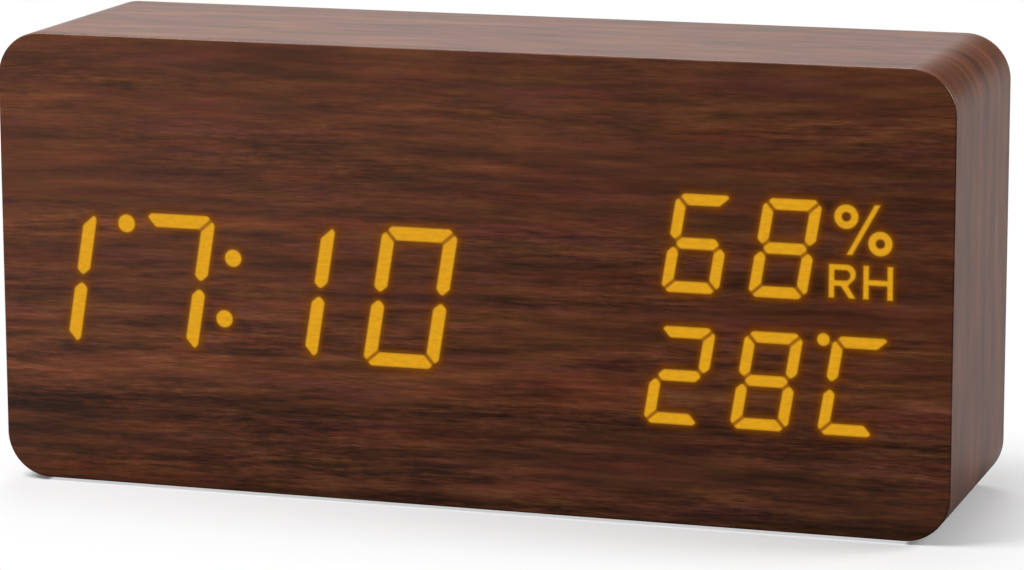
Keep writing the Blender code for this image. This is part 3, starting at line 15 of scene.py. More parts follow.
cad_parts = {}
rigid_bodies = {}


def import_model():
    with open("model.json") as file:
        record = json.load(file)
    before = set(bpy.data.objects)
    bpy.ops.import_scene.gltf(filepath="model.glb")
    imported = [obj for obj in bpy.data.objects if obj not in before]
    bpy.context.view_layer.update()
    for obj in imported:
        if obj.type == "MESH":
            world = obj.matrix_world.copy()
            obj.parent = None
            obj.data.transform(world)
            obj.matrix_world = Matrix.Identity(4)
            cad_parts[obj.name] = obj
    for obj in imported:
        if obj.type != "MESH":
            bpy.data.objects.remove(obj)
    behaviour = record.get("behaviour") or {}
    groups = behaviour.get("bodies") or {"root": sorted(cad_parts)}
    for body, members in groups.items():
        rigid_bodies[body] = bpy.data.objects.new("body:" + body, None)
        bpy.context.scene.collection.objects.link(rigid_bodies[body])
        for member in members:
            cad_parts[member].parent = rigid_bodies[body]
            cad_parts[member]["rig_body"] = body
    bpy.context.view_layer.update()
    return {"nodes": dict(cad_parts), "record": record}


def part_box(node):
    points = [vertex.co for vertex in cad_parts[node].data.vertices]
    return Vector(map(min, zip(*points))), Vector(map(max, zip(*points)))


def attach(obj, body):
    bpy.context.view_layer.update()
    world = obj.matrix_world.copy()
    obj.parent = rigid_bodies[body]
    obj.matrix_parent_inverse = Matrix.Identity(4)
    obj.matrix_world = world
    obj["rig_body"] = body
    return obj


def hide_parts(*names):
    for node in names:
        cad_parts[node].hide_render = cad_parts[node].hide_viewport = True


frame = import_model()

MM = 0.001

# The camera, worked out from the photograph's 1024 x 570 frame
CAMERA_AZIMUTH = 17.736
CAMERA_ELEVATION = 11.177
CAMERA_ROLL = -0.187
CAMERA_TARGET = Vector((1.5415, 0, 31.287)) * MM
CAMERA_DISTANCE = 651.11 * MM
CAMERA_LENS = 148.17
CAMERA_SENSOR = 36.0

# The case and its veneer
CORNER_RADIUS = 7.0 * MM
CORNER_STEPS = 24
SHEET_THICKNESS = 0.5 * MM
WRAP_THICKNESS = 0.5 * MM
EDGE_RADIUS = 0.22 * MM
EDGE_STEPS = 4
EDGE_SUPPORT = 0.08 * MM
FOOT_ROOM = 0.3 * MM
ROUND_STEPS = 64
WRAP_GRAIN_SHIFT = 0.9
WRAP_GRAIN_SCALE = 0.55
GRAIN_LEAN = 0.0175

# The veneer's long light and dark bands, by height in mm and brightness. The darkest, at the bottom
# edge, is painted shade
LONG_BANDS_AND_LOW_SHADE = [
    (1, 0.62), (4, 0.84), (10, 0.84), (14, 0.60), (18, 1.12), (22, 1.16), (28, 1.00), (34, 0.92),
    (38, 0.84), (42, 1.10), (46, 0.94), (50, 0.86), (57, 0.96), (63, 1.00), (69, 0.86),
]
BAND_SPAN = 100

# Red brown, tan and plum spots in the veneer: length, thickness, seed, where they begin, and tint
WALNUT_BLUSHES = [
    (34 * MM, 3.2 * MM, 31.0, 0.50, (1.08, 0.92, 0.93)),
    (24 * MM, 2.4 * MM, 47.0, 0.52, (1.00, 1.13, 0.88)),
    (30 * MM, 2.8 * MM, 59.0, 0.52, (1.00, 0.94, 1.40)),
]
BLUSH_SPAN = 0.14

# The lit segments and the glow round them
SEGMENT_CORNER = 0.80 * MM
SEGMENT_CORNERS = 6
SEGMENT_CORNER_STEPS = 4
LETTER_CORNER = 0.16 * MM
MOST_LETTER_CORNERS = 8
BOWL_TURN = math.radians(50)
CORNER_ROOM_SHARE = 0.49
GUIDE_GAP = 0.1 * MM
GLOW_RINGS = [0.10 * MM, 0.22 * MM, 0.40 * MM, 0.64 * MM, 1.00 * MM, 1.60 * MM]
CORE_RINGS = [0.09 * MM, 0.19 * MM, 0.31 * MM]
GLOW_REACH = GLOW_RINGS[-1]
GAP_REACH = 0.60 * MM
CORE_REACH = CORE_RINGS[-1]

WELD = 0.0005 * MM
SMOOTH_DEGREES = 35

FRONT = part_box("front_veneer")[0].y
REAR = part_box("case_wrap")[1].y
SHEET_BACK = FRONT + SHEET_THICKNESS
CASE_LEFT, CASE_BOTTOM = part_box("front_veneer")[0].x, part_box("front_veneer")[0].z
CASE_RIGHT, CASE_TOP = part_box("front_veneer")[1].x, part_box("front_veneer")[1].z

# The rear, its keys and the battery bay
COVER_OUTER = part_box("rear_cover")[1].y
SOFT_EDGE = 0.15 * MM
SCREW_EDGE = 0.10 * MM
SOFT_STEPS = 3
FLAT_DEGREES = 1
FIT = 0.05 * MM
DOOR_DEPTH = 1.6 * MM
BUTTON_RADIUS = 3.4 * MM
BUTTON_FLANGE = 1.0 * MM
BUTTON_DISH = 0.2 * MM
BUTTON_DISH_RADIUS = 2.4 * MM
BUTTON_EDGE = 0.45 * MM
CELL_NUB_RADIUS = 1.9 * MM
CELL_NUB_LENGTH = 0.8 * MM
CELL_SLEEVE_RADIUS = 4.5 * MM
CELL_LIP = 0.15 * MM
CELL_EDGE = 0.45 * MM
CELL_BAND = 11.0 * MM
CELL_BAND_EDGE = 0.05 * MM
SPRING_LENGTH = 5.0 * MM
SPRING_RADIUS = 3.4 * MM
SPRING_TIP_RADIUS = 2.1 * MM
SPRING_WIRE = 0.30 * MM
SPRING_TURNS = 5.5
SPRING_FLAT = 0.8
SPRING_STEPS = 28
SPRING_SIDES = 8
CONTACT_BUMP = 0.5 * MM
GRIP_RADIUS = 4.0 * MM
GRIP_DEPTH = 0.8 * MM
GRIP_LENGTH = 14.0 * MM
GRIP_INSET = 5.0 * MM
GRIP_END = 0.8 * MM
GRIP_RIBS = 3
GRIP_RIB = 0.22 * MM
GRIP_RIB_STEPS = 6
GRIP_RIB_END_SHARE = 0.3
GRIP_PITCH = 1.15 * MM
MARK_RADIUS = 1.25 * MM
MARK_RING_RADIUS = 0.85 * MM
MARK_CORNER = 0.25 * MM
MARK_GAP = 2.6 * MM
MARK_PROUD = 0.12 * MM

# The contacts with springs: which way along X each spring points, and the cell that it presses
SPRING_CELLS = {
    "battery_contact_negative": (1, "battery_1"),
    "battery_link_right": (-1, "battery_2"),
    "battery_link_left": (1, "battery_3"),
}

# The floor: half its width, the reach of the reflection painted on it for gloss and of its shadow,
# and the stops of their levels
FLOOR_HALF = 2.5
# Painted shade: within this reach of the clock, what gloss sees of the floor darkens
PAINTED_REFLECTION_FADE = 20 * MM
SHADOW_FADE = 40 * MM
# Painted reflection: how bright gloss sees the floor, from beside the clock's right side outwards
PAINTED_REFLECTION_STOPS = [(0, 0.72), (0.2, 0.45), (0.7, 0.53), (1, 0.50)]
# Painted light: white mixed into the floor to the eye, most right under the case's edge over its
# shadow, then more with distance
FLOOR_FADE_STOPS = [(0, 0.58), (0.02, 0.12), (0.16, 0.20), (0.6, 0.8), (1, 1)]

# The studio round it, as gloss and soft light see it
STUDIO_TURN = 0.35
STUDIO_FRONT_LEVEL = 0.15
STUDIO_BACK_LEVEL = 0.66
STUDIO_PLAIN_LEVEL = 0.24
STUDIO_DARK_SIDE = (0.9, 0.0, 1.6)
STUDIO_DARK_EDGE = (0.16, 0.44)

# The lamps: name, azimuth, elevation, distance, width and power
LAMPS = [
    ("key", -50, 51, 440 * MM, 260 * MM, 2.9),
    ("side fill", 115, 28, 620 * MM, 300 * MM, 3.1),
    ("back", 195, 50, 620 * MM, 400 * MM, 1.8),
]


# Outlines, as lists of (x, z) points that run anticlockwise


def area(outline):
    pairs = zip(outline, outline[1:] + outline[:1])
    return sum(x0 * z1 - x1 * z0 for (x0, z0), (x1, z1) in pairs) / 2


def face_loops(node, plane):
    """The outlines of the flat faces that a node has on a plane of y. Holes run clockwise."""
    mesh = frame["nodes"][node].data
    keys = {}

    def key(index):
        co = mesh.vertices[index].co
        return keys.setdefault((round(co.x, 7), round(co.z, 7)), (co.x, co.z))

    edges = set()
    for polygon in mesh.polygons:
        if all(abs(mesh.vertices[i].co.y - plane) < WELD for i in polygon.vertices):
            corners = [key(i) for i in polygon.vertices]
            if area(corners) < 0:
                corners.reverse()
            edges.update(zip(corners, corners[1:] + corners[:1]))
    after = {a: b for a, b in edges if (b, a) not in edges}
    loops = []
    while after:
        first, point = after.popitem()
        loop = [first]
        while point != first:
            loop.append(point)
            point = after.pop(point)
        loops.append(straightened(loop))
    return loops


def straightened(loop):
    """The loop without the points that lie along its straight edges."""
    kept = []
    for i, point in enumerate(loop):
        before, here, after = (Vector(loop[j % len(loop)]) for j in (i - 1, i, i + 1))
        if abs((here - before).normalized().cross((after - here).normalized())) > 1e-3:
            kept.append(point)
    return kept


def rounded(outline, radius, steps, closed=True, bowl=False):
    """The outline with its corners rounded, as far as its edges leave room.

    With bowl, slight turns take all the room, so that a coarse arc becomes round.
    """
    points = []
    for i, corner in enumerate(outline):
        if not closed and i in (0, len(outline) - 1):
            points.append(corner)
            continue
        before, here, after = (Vector(outline[j % len(outline)]) for j in (i - 1, i, i + 1))
        to_before, to_after = before - here, after - here
        half = to_before.angle(to_after) / 2
        room = CORNER_ROOM_SHARE * min(to_before.length, to_after.length)
        slight = bowl and math.pi - 2 * half < BOWL_TURN
        setback = room if slight else min(radius / math.tan(half), room)
        start = here + setback * to_before.normalized()
        end = here + setback * to_after.normalized()
        for step in range(steps + 1):
            t = step / steps
            points.append(tuple((1 - t) ** 2 * start + 2 * t * (1 - t) * here + t**2 * end))
    return points


def moved_out(outline, distance):
    """The outline with each edge moved outwards by distance."""
    found = []
    for i, point in enumerate(outline):
        before, here, after = (Vector(outline[j % len(outline)]) for j in (i - 1, i, i + 1))
        into, out = (here - before).normalized(), (after - here).normalized()
        normal = Vector((into.y + out.y, -into.x - out.x))
        found.append(tuple(here + normal * (2 * distance / normal.length_squared)))
    return found


def circle(x, z, radius, steps=ROUND_STEPS):
    turns = [2 * math.pi * i / steps for i in range(steps)]
    return [(x + radius * math.cos(a), z + radius * math.sin(a)) for a in turns]


def as_circle(loop, steps):
    """A finer circle in place of a coarse one."""
    middle = sum((Vector(p) for p in loop), Vector((0, 0))) / len(loop)
    return circle(*middle, (Vector(loop[0]) - middle).length, steps)


def smoother(loop):
    """A lit outline as it shows: dots are finer circles, and segments have soft corners."""
    middle = sum((Vector(p) for p in loop), Vector((0, 0))) / len(loop)
    reaches = [(Vector(p) - middle).length for p in loop]
    if len(loop) > MOST_LETTER_CORNERS and max(reaches) - min(reaches) < GUIDE_GAP / 10:
        return as_circle(loop, ROUND_STEPS // 2)
    if len(loop) == SEGMENT_CORNERS:
        return rounded(loop, SEGMENT_CORNER, SEGMENT_CORNER_STEPS)
    return rounded(loop, LETTER_CORNER, SEGMENT_CORNER_STEPS, bowl=True)


def case_perimeter(inset):
    """The case's outline moved in, from the right end of the flat bottom round to the left end."""
    radius = CORNER_RADIUS - inset
    right, left = CASE_RIGHT - CORNER_RADIUS, CASE_LEFT + CORNER_RADIUS
    top, bottom = CASE_TOP - CORNER_RADIUS, CASE_BOTTOM + CORNER_RADIUS
    points = []
    for turn, (x, z) in enumerate(((right, bottom), (right, top), (left, top), (left, bottom))):
        for step in range(CORNER_STEPS + 1):
            angle = math.radians(90 * (turn - 1 + step / CORNER_STEPS))
            points.append((x + radius * math.cos(angle), z + radius * math.sin(angle)))
    return points


# Meshes


def fill(shape, outline, holes, y, rings=(), islands=()):
    """Fills an outline at plane y, round the holes in it, with the rings' edges in the mesh."""
    points, edges, faces = [], [], []
    for loop in (outline, *holes, *islands):
        faces.append(list(range(len(points), len(points) + len(loop))))
        points += [Vector(p) for p in loop]
    for ring in rings:
        first = len(points)
        points += [Vector(p) for p in ring]
        edges += [(first + i, first + (i + 1) % len(ring)) for i in range(len(ring))]
    places, _, triangles, _, _, inside = delaunay_2d_cdt(points, edges, faces, 0, WELD / 5)
    corners = [shape.verts.new((p.x, y, p.y)) for p in places]
    first_island = 1 + len(holes)
    for triangle, owners in zip(triangles, inside):
        if owners == [0] or any(owner >= first_island for owner in owners):
            shape.faces.new([corners[i] for i in triangle])


def loft(shape, loops):
    """Joins closed loops of as many (x, y, z) points each by quads."""
    rings = [[shape.verts.new(p) for p in loop] for loop in loops]
    count = len(loops[0])
    for ring, other in zip(rings, rings[1:]):
        for i in range(count):
            j = (i + 1) % count
            shape.faces.new((ring[i], ring[j], other[j], other[i]))


def at(outline, y):
    return [(x, y, z) for x, z in outline]


def object_from(shape, name, material, body="clock"):
    """Welds a bmesh into an object with one material, shades it, and sets it on its body."""
    bmesh.ops.remove_doubles(shape, verts=shape.verts, dist=WELD)
    bmesh.ops.recalc_face_normals(shape, faces=shape.faces)
    mesh = bpy.data.meshes.new(name)
    shape.to_mesh(mesh)
    shape.free()
    mesh.shade_smooth()
    mesh.set_sharp_from_angle(angle=math.radians(SMOOTH_DEGREES))
    mesh.materials.append(material)
    piece = bpy.data.objects.new(name, mesh)
    bpy.context.scene.collection.objects.link(piece)
    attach(piece, body)
    return piece


def grain_from_place(piece):
    """Lays the grain map over a front piece: along X, across Z."""
    mesh = piece.data
    layer = mesh.uv_layers.new(name="grain")
    for loop in mesh.loops:
        co = mesh.vertices[loop.vertex_index].co
        layer.data[loop.index].uv = (co.x, co.z - GRAIN_LEAN * co.x)


def edge_distances(piece, name, outlines, reach, gap=None):
    """Stores each point's distance to the nearest outline, as a share of reach.

    With gap, it also stores how closely the point lies between two outlines.
    """
    starts = np.array([p for loop in outlines for p in loop])
    ends = np.array([p for loop in outlines for p in loop[1:] + loop[:1]])
    firsts = np.cumsum([0] + [len(loop) for loop in outlines[:-1]])
    along = ends - starts
    length = (along**2).sum(1)
    shares, gaps = [], []
    for vertex in piece.data.vertices:
        if abs(vertex.co.y - FRONT) > WELD:
            shares.append(1.0)
            gaps.append(0.0)
            continue
        away = np.array((vertex.co.x, vertex.co.z)) - starts
        t = np.clip((away * along).sum(1) / length, 0, 1)
        squares = ((away - t[:, None] * along) ** 2).sum(1)
        nearest = np.sort(np.sqrt(np.minimum.reduceat(squares, firsts)))
        shares.append(min(nearest[0] / reach, 1.0))
        gaps.append(float(np.clip(2 - 2 * nearest[:2].sum() / GAP_REACH, 0, 1)))
    piece.data.attributes.new(name, "FLOAT", "POINT").data.foreach_set("value", shares)
    if gap:
        piece.data.attributes.new(gap, "FLOAT", "POINT").data.foreach_set("value", gaps)


# Materials


class Graph:
    """The nodes of a material or a world, with short ways to add to them and to join them."""

    def __init__(self, owner):
        owner.use_nodes = True
        self.owner = owner
        self.tree = owner.node_tree
        self.shader = self.tree.nodes.get("Principled BSDF")

    def put(self, socket, value):
        if isinstance(value, bpy.types.NodeSocket):
            self.tree.links.new(value, socket)
        else:
            socket.default_value = value

    def add(self, kind, values=(), **settings):
        """Adds a node. values are for its inputs, in their order, and None leaves one alone."""
        made = self.tree.nodes.new("ShaderNode" + kind)
        for key, setting in settings.items():
            setattr(made, key, setting)
        for socket, value in zip(made.inputs, values):
            if value is not None:
                self.put(socket, value)
        return made

    def math(self, operation, a, b=0.0, clamp=False):
        return self.add("Math", (a, b), operation=operation, use_clamp=clamp).outputs[0]

    def vector(self, operation, a, b=(0, 0, 0), c=(0, 0, 0)):
        return self.add("VectorMath", (a, b, c), operation=operation).outputs[0]

    def span(self, value, low, high, to_low=0.0, to_high=1.0):
        """The value carried from one range to another, kept inside it."""
        return self.add("MapRange", (value, low, high, to_low, to_high)).outputs[0]

    def ramp(self, value, stops):
        made = self.add("ValToRGB", (value,))
        elements = made.color_ramp.elements
        while len(elements) < len(stops):
            elements.new(0.5)
        for element, (place, colour) in zip(elements, stops):
            element.position = place
            element.color = (*colour, 1)
        return made.outputs[0]

    def mix(self, share, a, b, blend="MIX"):
        made = self.add("Mix", data_type="RGBA", blend_type=blend)
        for socket, value in zip((made.inputs[0], made.inputs[6], made.inputs[7]), (share, a, b)):
            if isinstance(value, tuple) and len(value) == 3:
                value = (*value, 1)
            self.put(socket, value)
        return made.outputs[2]

    def blend_of(self, *parts):
        """The sum of several values, each times its share."""
        total = None
        for value, share in parts:
            scaled = self.math("MULTIPLY", value, share)
            total = scaled if total is None else self.math("ADD", total, scaled)
        return total

    def noise(self, vector, size, detail=3.0, roughness=0.55, seed=0.0):
        """Noise whose spots are about size across. size may differ along each axis."""
        if isinstance(size, float):
            size = (size, size, size)
        scale = tuple(1 / s for s in size)
        place = self.vector("MULTIPLY_ADD", vector, scale, (seed, seed, seed))
        made = self.add("TexNoise")
        self.put(made.inputs["Vector"], place)
        self.put(made.inputs["Scale"], 1.0)
        self.put(made.inputs["Detail"], detail)
        self.put(made.inputs["Roughness"], roughness)
        return made.outputs[0]

    def bump(self, height, distance, strength=1.0):
        made = self.add("Bump")
        self.put(made.inputs["Strength"], strength)
        self.put(made.inputs["Distance"], distance)
        self.put(made.inputs["Height"], height)
        self.put(self.shader.inputs["Normal"], made.outputs[0])

    def set(self, **values):
        """Sets the shader's inputs, named as in Blender with underscores for spaces."""
        for key, value in values.items():
            if isinstance(value, tuple) and len(value) == 3:
                value = (*value, 1)
            self.put(self.shader.inputs[key.replace("_", " ")], value)


def new_material(name):
    return Graph(bpy.data.materials.new(name))


def greys(stops):
    """A ramp's stops from places and levels of grey."""
    return [(place, (level, level, level)) for place, level in stops]


def walnut_colour(graph, grain, fineness):
    """Long bands, patches and streaks in chocolate, red brown and tan. Returns colour and relief."""
    wave = graph.noise(grain, (110 * MM, 30 * MM, 1.0), 2.0, 0.5, 3.0)
    ripple = graph.noise(grain, (18 * MM, 3.0 * MM, 1.0), 2.0, 0.5, 11.0)
    lift = graph.math("MULTIPLY", graph.math("SUBTRACT", wave, 0.5), 2.6 * MM)
    small = graph.math("MULTIPLY", graph.math("SUBTRACT", ripple, 0.5), 0.5 * MM)
    shift = graph.add("CombineXYZ", (0.0, graph.math("ADD", lift, small), 0.0)).outputs[0]
    warped = graph.vector("ADD", grain, shift)

    bands = graph.noise(warped, (240 * MM, 4.5 * MM, 1.0), 2.0, 0.6, 21.0)
    patches = graph.noise(warped, (19 * MM, 2.0 * MM, 1.0), 3.0, 0.6, 13.0)
    streaks = graph.noise(warped, (8.5 * MM, 0.62 * MM, 1.0), 3.0, 0.6, 5.0)
    fine = graph.noise(warped, (2.6 * MM, 0.24 * MM, 1.0), 3.0, 0.6, 8.0)
    height = graph.add("SeparateXYZ", (warped,)).outputs["Y"]
    flecked = graph.noise(grain, (55 * MM, 9 * MM, 1.0), 2.0, 0.5, 27.0)
    busy = graph.span(flecked, 0.38, 0.62, 0.30, 1.10)
    contrast = graph.span(height, 48 * MM, 20 * MM, 0.72, 1.05)
    detail = graph.math("SUBTRACT", graph.blend_of((streaks, 0.42), (fine, 0.44)), 0.43)
    detail = graph.math("MULTIPLY", detail, graph.math("MULTIPLY", busy, fineness))
    broad = graph.math("SUBTRACT", graph.blend_of((bands, 0.26), (patches, 0.54)), 0.40)
    tone = graph.math("MULTIPLY", graph.math("ADD", broad, detail), contrast)
    tone = graph.math("ADD", tone, 0.5)

    brown = graph.ramp(
        tone,
        (
            (0.36, (0.034, 0.0118, 0.0068)),
            (0.45, (0.070, 0.0232, 0.0112)),
            (0.52, (0.108, 0.0346, 0.0158)),
            (0.59, (0.150, 0.0495, 0.0235)),
            (0.68, (0.205, 0.0760, 0.0400)),
        ),
    )
    colour = brown
    hue = 0.4 + 0.6 * fineness
    for length, thickness, seed, low, tint in WALNUT_BLUSHES:
        spots = graph.noise(warped, (length, thickness, 1.0), 3.0, 0.55, seed)
        share = graph.span(spots, low, low + BLUSH_SPAN, 0.0, hue)
        colour = graph.mix(share, colour, tint, "MULTIPLY")
    # The long bands of the grain, darker at the bottom edge as painted shade
    stops = greys((h / BAND_SPAN, level) for h, level in LONG_BANDS_AND_LOW_SHADE)
    bright = graph.ramp(graph.math("DIVIDE", height, BAND_SPAN * MM), stops)
    colour = graph.mix(1.0, colour, bright, "MULTIPLY")
    pores = graph.noise(warped, (2.8 * MM, 0.16 * MM, 1.0), 2.0, 0.55, 17.0)
    pored = graph.math("MULTIPLY", graph.span(pores, 0.60, 0.72), busy)
    pored = graph.math("MULTIPLY", pored, fineness**4)
    colour = graph.mix(graph.math("MULTIPLY", pored, 0.50), colour, (0.026, 0.0090, 0.0055))
    relief = graph.math("SUBTRACT", streaks, graph.math("MULTIPLY", pored, 0.5))
    return colour, relief


def walnut(name, tint, fineness, sheen, roughness, glow):
    """Satin walnut film. Fineness is how strong its fine streaks are.

    With glow, light bleeds into it, and without, it is darker along its rounded rear edge.
    """
    graph = new_material(name)
    grain = graph.add("UVMap", uv_map="grain").outputs[0]
    colour, relief = walnut_colour(graph, grain, fineness)
    colour = graph.mix(1.0, colour, tint, "MULTIPLY")
    graph.set(
        Roughness=graph.span(relief, 0.3, 0.7, roughness - 0.03, roughness + 0.03),
        Specular_IOR_Level=sheen,
    )
    graph.bump(relief, 0.010 * MM, 0.5 * fineness**2)
    if glow:
        share = graph.add("Attribute", attribute_name="glow").outputs["Fac"]
        halo = graph.ramp(
            share,
            (
                (0.000, (0.180, 0.0630, 0.0000)),
                (0.063, (0.118, 0.0380, 0.0000)),
                (0.138, (0.095, 0.0290, 0.0000)),
                (0.250, (0.062, 0.0150, 0.0000)),
                (0.400, (0.028, 0.0040, 0.0000)),
                (0.625, (0.008, 0.0005, 0.0000)),
                (1.000, (0.000, 0.0000, 0.0000)),
            ),
        )
        gap = graph.add("Attribute", attribute_name="gap").outputs["Fac"]
        halo = graph.mix(gap, halo, (0.19, 0.068, 0.0), "ADD")
        shade = graph.ramp(
            share,
            (
                (0.00, (0.38, 0.38, 0.02)),
                (0.14, (0.52, 0.54, 0.04)),
                (0.27, (0.82, 0.80, 0.10)),
                (0.48, (0.97, 0.94, 0.34)),
                (0.75, (1.00, 0.99, 0.84)),
                (1.00, (1.00, 1.00, 1.00)),
            ),
        )
        graph.set(
            Base_Color=graph.mix(1.0, colour, shade, "MULTIPLY"),
            Emission_Color=halo,
            Emission_Strength=1.0,
        )
    else:
        # Darker along the rounded rear edge
        rim = graph.add("Attribute", attribute_name="rim").outputs["Fac"]
        graph.set(Base_Color=graph.mix(rim, colour, (0.020, 0.012, 0.009)))
    return graph.owner


def lit_amber():
    """A lit segment: even amber light, darker in a thin line along its edge."""
    graph = new_material("lit_amber")
    share = graph.add("Attribute", attribute_name="core").outputs["Fac"]
    grain = graph.add("UVMap", uv_map="grain").outputs[0]
    mottle = graph.noise(grain, (1.6 * MM, 0.5 * MM, 1.0), 3.0, 0.6, 4.0)
    light = graph.ramp(
        share,
        (
            (0.00, (0.310, 0.125, 0.0040)),
            (0.30, (0.460, 0.207, 0.0060)),
            (0.62, (0.612, 0.288, 0.0090)),
            (1.00, (0.695, 0.328, 0.0060)),
        ),
    )
    level = graph.span(mottle, 0.30, 0.70, 0.88, 1.08)
    graph.set(
        Base_Color=(0.045, 0.018, 0.004),
        Roughness=0.5,
        Specular_IOR_Level=0.10,
        Emission_Color=graph.mix(1.0, light, level, "MULTIPLY"),
        Emission_Strength=1.0,
    )
    return graph.owner


def speckled(name, colour, roughness, grit=0.25 * MM, contrast=0.12, relief=0.01 * MM, **more):
    """Moulded, cast or pressed stuff: an even colour with a fine grit and softer blotches."""
    graph = new_material(name)
    place = graph.add("TexCoord").outputs["Object"]
    grains = graph.noise(place, grit, 3.0, 0.6, 2.0)
    blotches = graph.noise(place, 14 * MM, 2.0, 0.5, 6.0)
    mixed = graph.blend_of((grains, 0.6), (blotches, 0.4))
    level = graph.span(mixed, 0.35, 0.65, 1 - contrast, 1 + contrast)
    graph.set(
        Base_Color=graph.mix(1.0, colour, level, "MULTIPLY"),
        Roughness=graph.span(grains, 0.3, 0.7, roughness - 0.05, roughness + 0.05),
        **more,
    )
    graph.bump(grains, relief)
    return graph.owner


def fibreboard():
    """Pressed fibre with paler and darker strands."""
    graph = new_material("fibreboard")
    place = graph.add("TexCoord").outputs["Object"]
    strands = graph.noise(place, (1.4 * MM, 0.25 * MM, 0.6 * MM), 4.0, 0.65, 1.0)
    colour = graph.ramp(
        strands,
        ((0.30, (0.20, 0.115, 0.06)), (0.50, (0.34, 0.215, 0.12)), (0.72, (0.47, 0.32, 0.19))),
    )
    graph.set(Base_Color=colour, Roughness=0.88, Specular_IOR_Level=0.2)
    graph.bump(strands, 0.05 * MM)
    return graph.owner


def circuit_board():
    """Green solder mask over faint tracks."""
    graph = new_material("circuit_board")
    place = graph.add("TexCoord").outputs["Object"]
    tracks = graph.add("TexBrick")
    graph.put(tracks.inputs["Vector"], graph.vector("MULTIPLY", place, (1.0, 0.0, 1.0)))
    graph.put(tracks.inputs["Scale"], 220.0)
    weave = graph.noise(place, 0.4 * MM, 2.0, 0.5)
    level = graph.span(weave, 0.3, 0.7, 0.9, 1.1)
    bare = graph.span(tracks.outputs["Fac"], 0, 1, 0, 0.5)
    base = graph.mix(bare, (0.012, 0.105, 0.040), (0.030, 0.210, 0.075))
    graph.set(Base_Color=graph.mix(1.0, base, level, "MULTIPLY"), Roughness=0.38)
    return graph.owner


def cell_wrap():
    """A cell's printed sleeve, blue grey with a pale band by the nub, and its bright ends."""
    graph = new_material("cell_wrap")
    zone = graph.add("Attribute", attribute_name="zone").outputs["Fac"]
    place = graph.add("TexCoord").outputs["Object"]
    brushed = graph.noise(place, (6 * MM, 0.12 * MM, 0.12 * MM), 2.0, 0.5, 3.0)
    sleeve = graph.math("GREATER_THAN", zone, 0.25)
    rest = graph.math("GREATER_THAN", zone, 0.75)
    print_colour = graph.mix(rest, (0.50, 0.52, 0.54), (0.035, 0.085, 0.150))
    colour = graph.mix(sleeve, (0.62, 0.61, 0.60), print_colour)
    level = graph.span(brushed, 0.3, 0.7, 0.92, 1.08)
    graph.set(
        Base_Color=graph.mix(1.0, colour, level, "MULTIPLY"),
        Metallic=graph.span(sleeve, 0.0, 1.0, 1.0, 0.0),
        Roughness=graph.span(brushed, 0.3, 0.7, 0.24, 0.34),
    )
    graph.bump(brushed, 0.004 * MM, 0.5)
    return graph.owner


def make_materials():
    return {
        # The wrap's copy of the walnut film is tinted much lighter than the front's: painted light on
        # the top and sides
        "walnut_front": walnut(
            "walnut_front", (0.935, 0.865, 0.710), fineness=1.0, sheen=0.26, roughness=0.33, glow=True
        ),
        "walnut_wrap": walnut(
            "walnut_wrap", (1.18, 1.22, 1.20), fineness=0.28, sheen=0.075, roughness=0.22, glow=False
        ),
        "lit_segment": lit_amber(),
        "fibreboard": fibreboard(),
        "black_plastic": speckled("black_plastic", (0.020, 0.020, 0.021), 0.52, relief=0.02 * MM),
        "button_plastic": speckled("button_plastic", (0.045, 0.045, 0.047), 0.42),
        "foot_rubber": speckled("foot_rubber", (0.030, 0.030, 0.030), 0.85),
        "white_plastic": speckled("white_plastic", (0.78, 0.78, 0.76), 0.5, contrast=0.04),
        "circuit_board": circuit_board(),
        "chip_plastic": speckled("chip_plastic", (0.022, 0.022, 0.024), 0.5),
        "steel": speckled("steel", (0.60, 0.60, 0.60), 0.30, Metallic=1.0, contrast=0.06),
        "cell_wrap": cell_wrap(),
        "key_print": speckled("key_print", (0.55, 0.55, 0.54), 0.55, contrast=0.05),
        "lead_red": speckled("lead_red", (0.42, 0.02, 0.02), 0.45),
        "lead_black": speckled("lead_black", (0.02, 0.02, 0.02), 0.45),
        "ribbon_grey": speckled("ribbon_grey", (0.42, 0.43, 0.45), 0.5),
    }


# The lit display and the veneer


GUIDES = sorted(name for name in frame["nodes"] if name.endswith("_guide"))


def window_loops():
    """The veneer's windows as they show. The case's own outline is left out."""
    loops = face_loops("front_veneer", FRONT)
    return [smoother(loop[::-1]) for loop in loops if area(loop) < 0]


def light_islands():
    """The unlit middles of lit signs, such as those of the percent sign's rings."""
    holes = []
    for guide in GUIDES:
        holes += [loop[::-1] for loop in face_loops(guide, FRONT) if area(loop) < 0]
    return [
        as_circle(hole, ROUND_STEPS // 2)
        if len(hole) > MOST_LETTER_CORNERS
        else rounded(hole, LETTER_CORNER, SEGMENT_CORNER_STEPS, bowl=True)
        for hole in holes
    ]


def inside(point, outline):
    """Whether a point lies inside an outline, by counting the edges to its right."""
    x, z = point
    found = False
    for (x0, z0), (x1, z1) in zip(outline, outline[1:] + outline[:1]):
        if (z0 > z) != (z1 > z) and x < x0 + (z - z0) * (x1 - x0) / (z1 - z0):
            found = not found
    return found


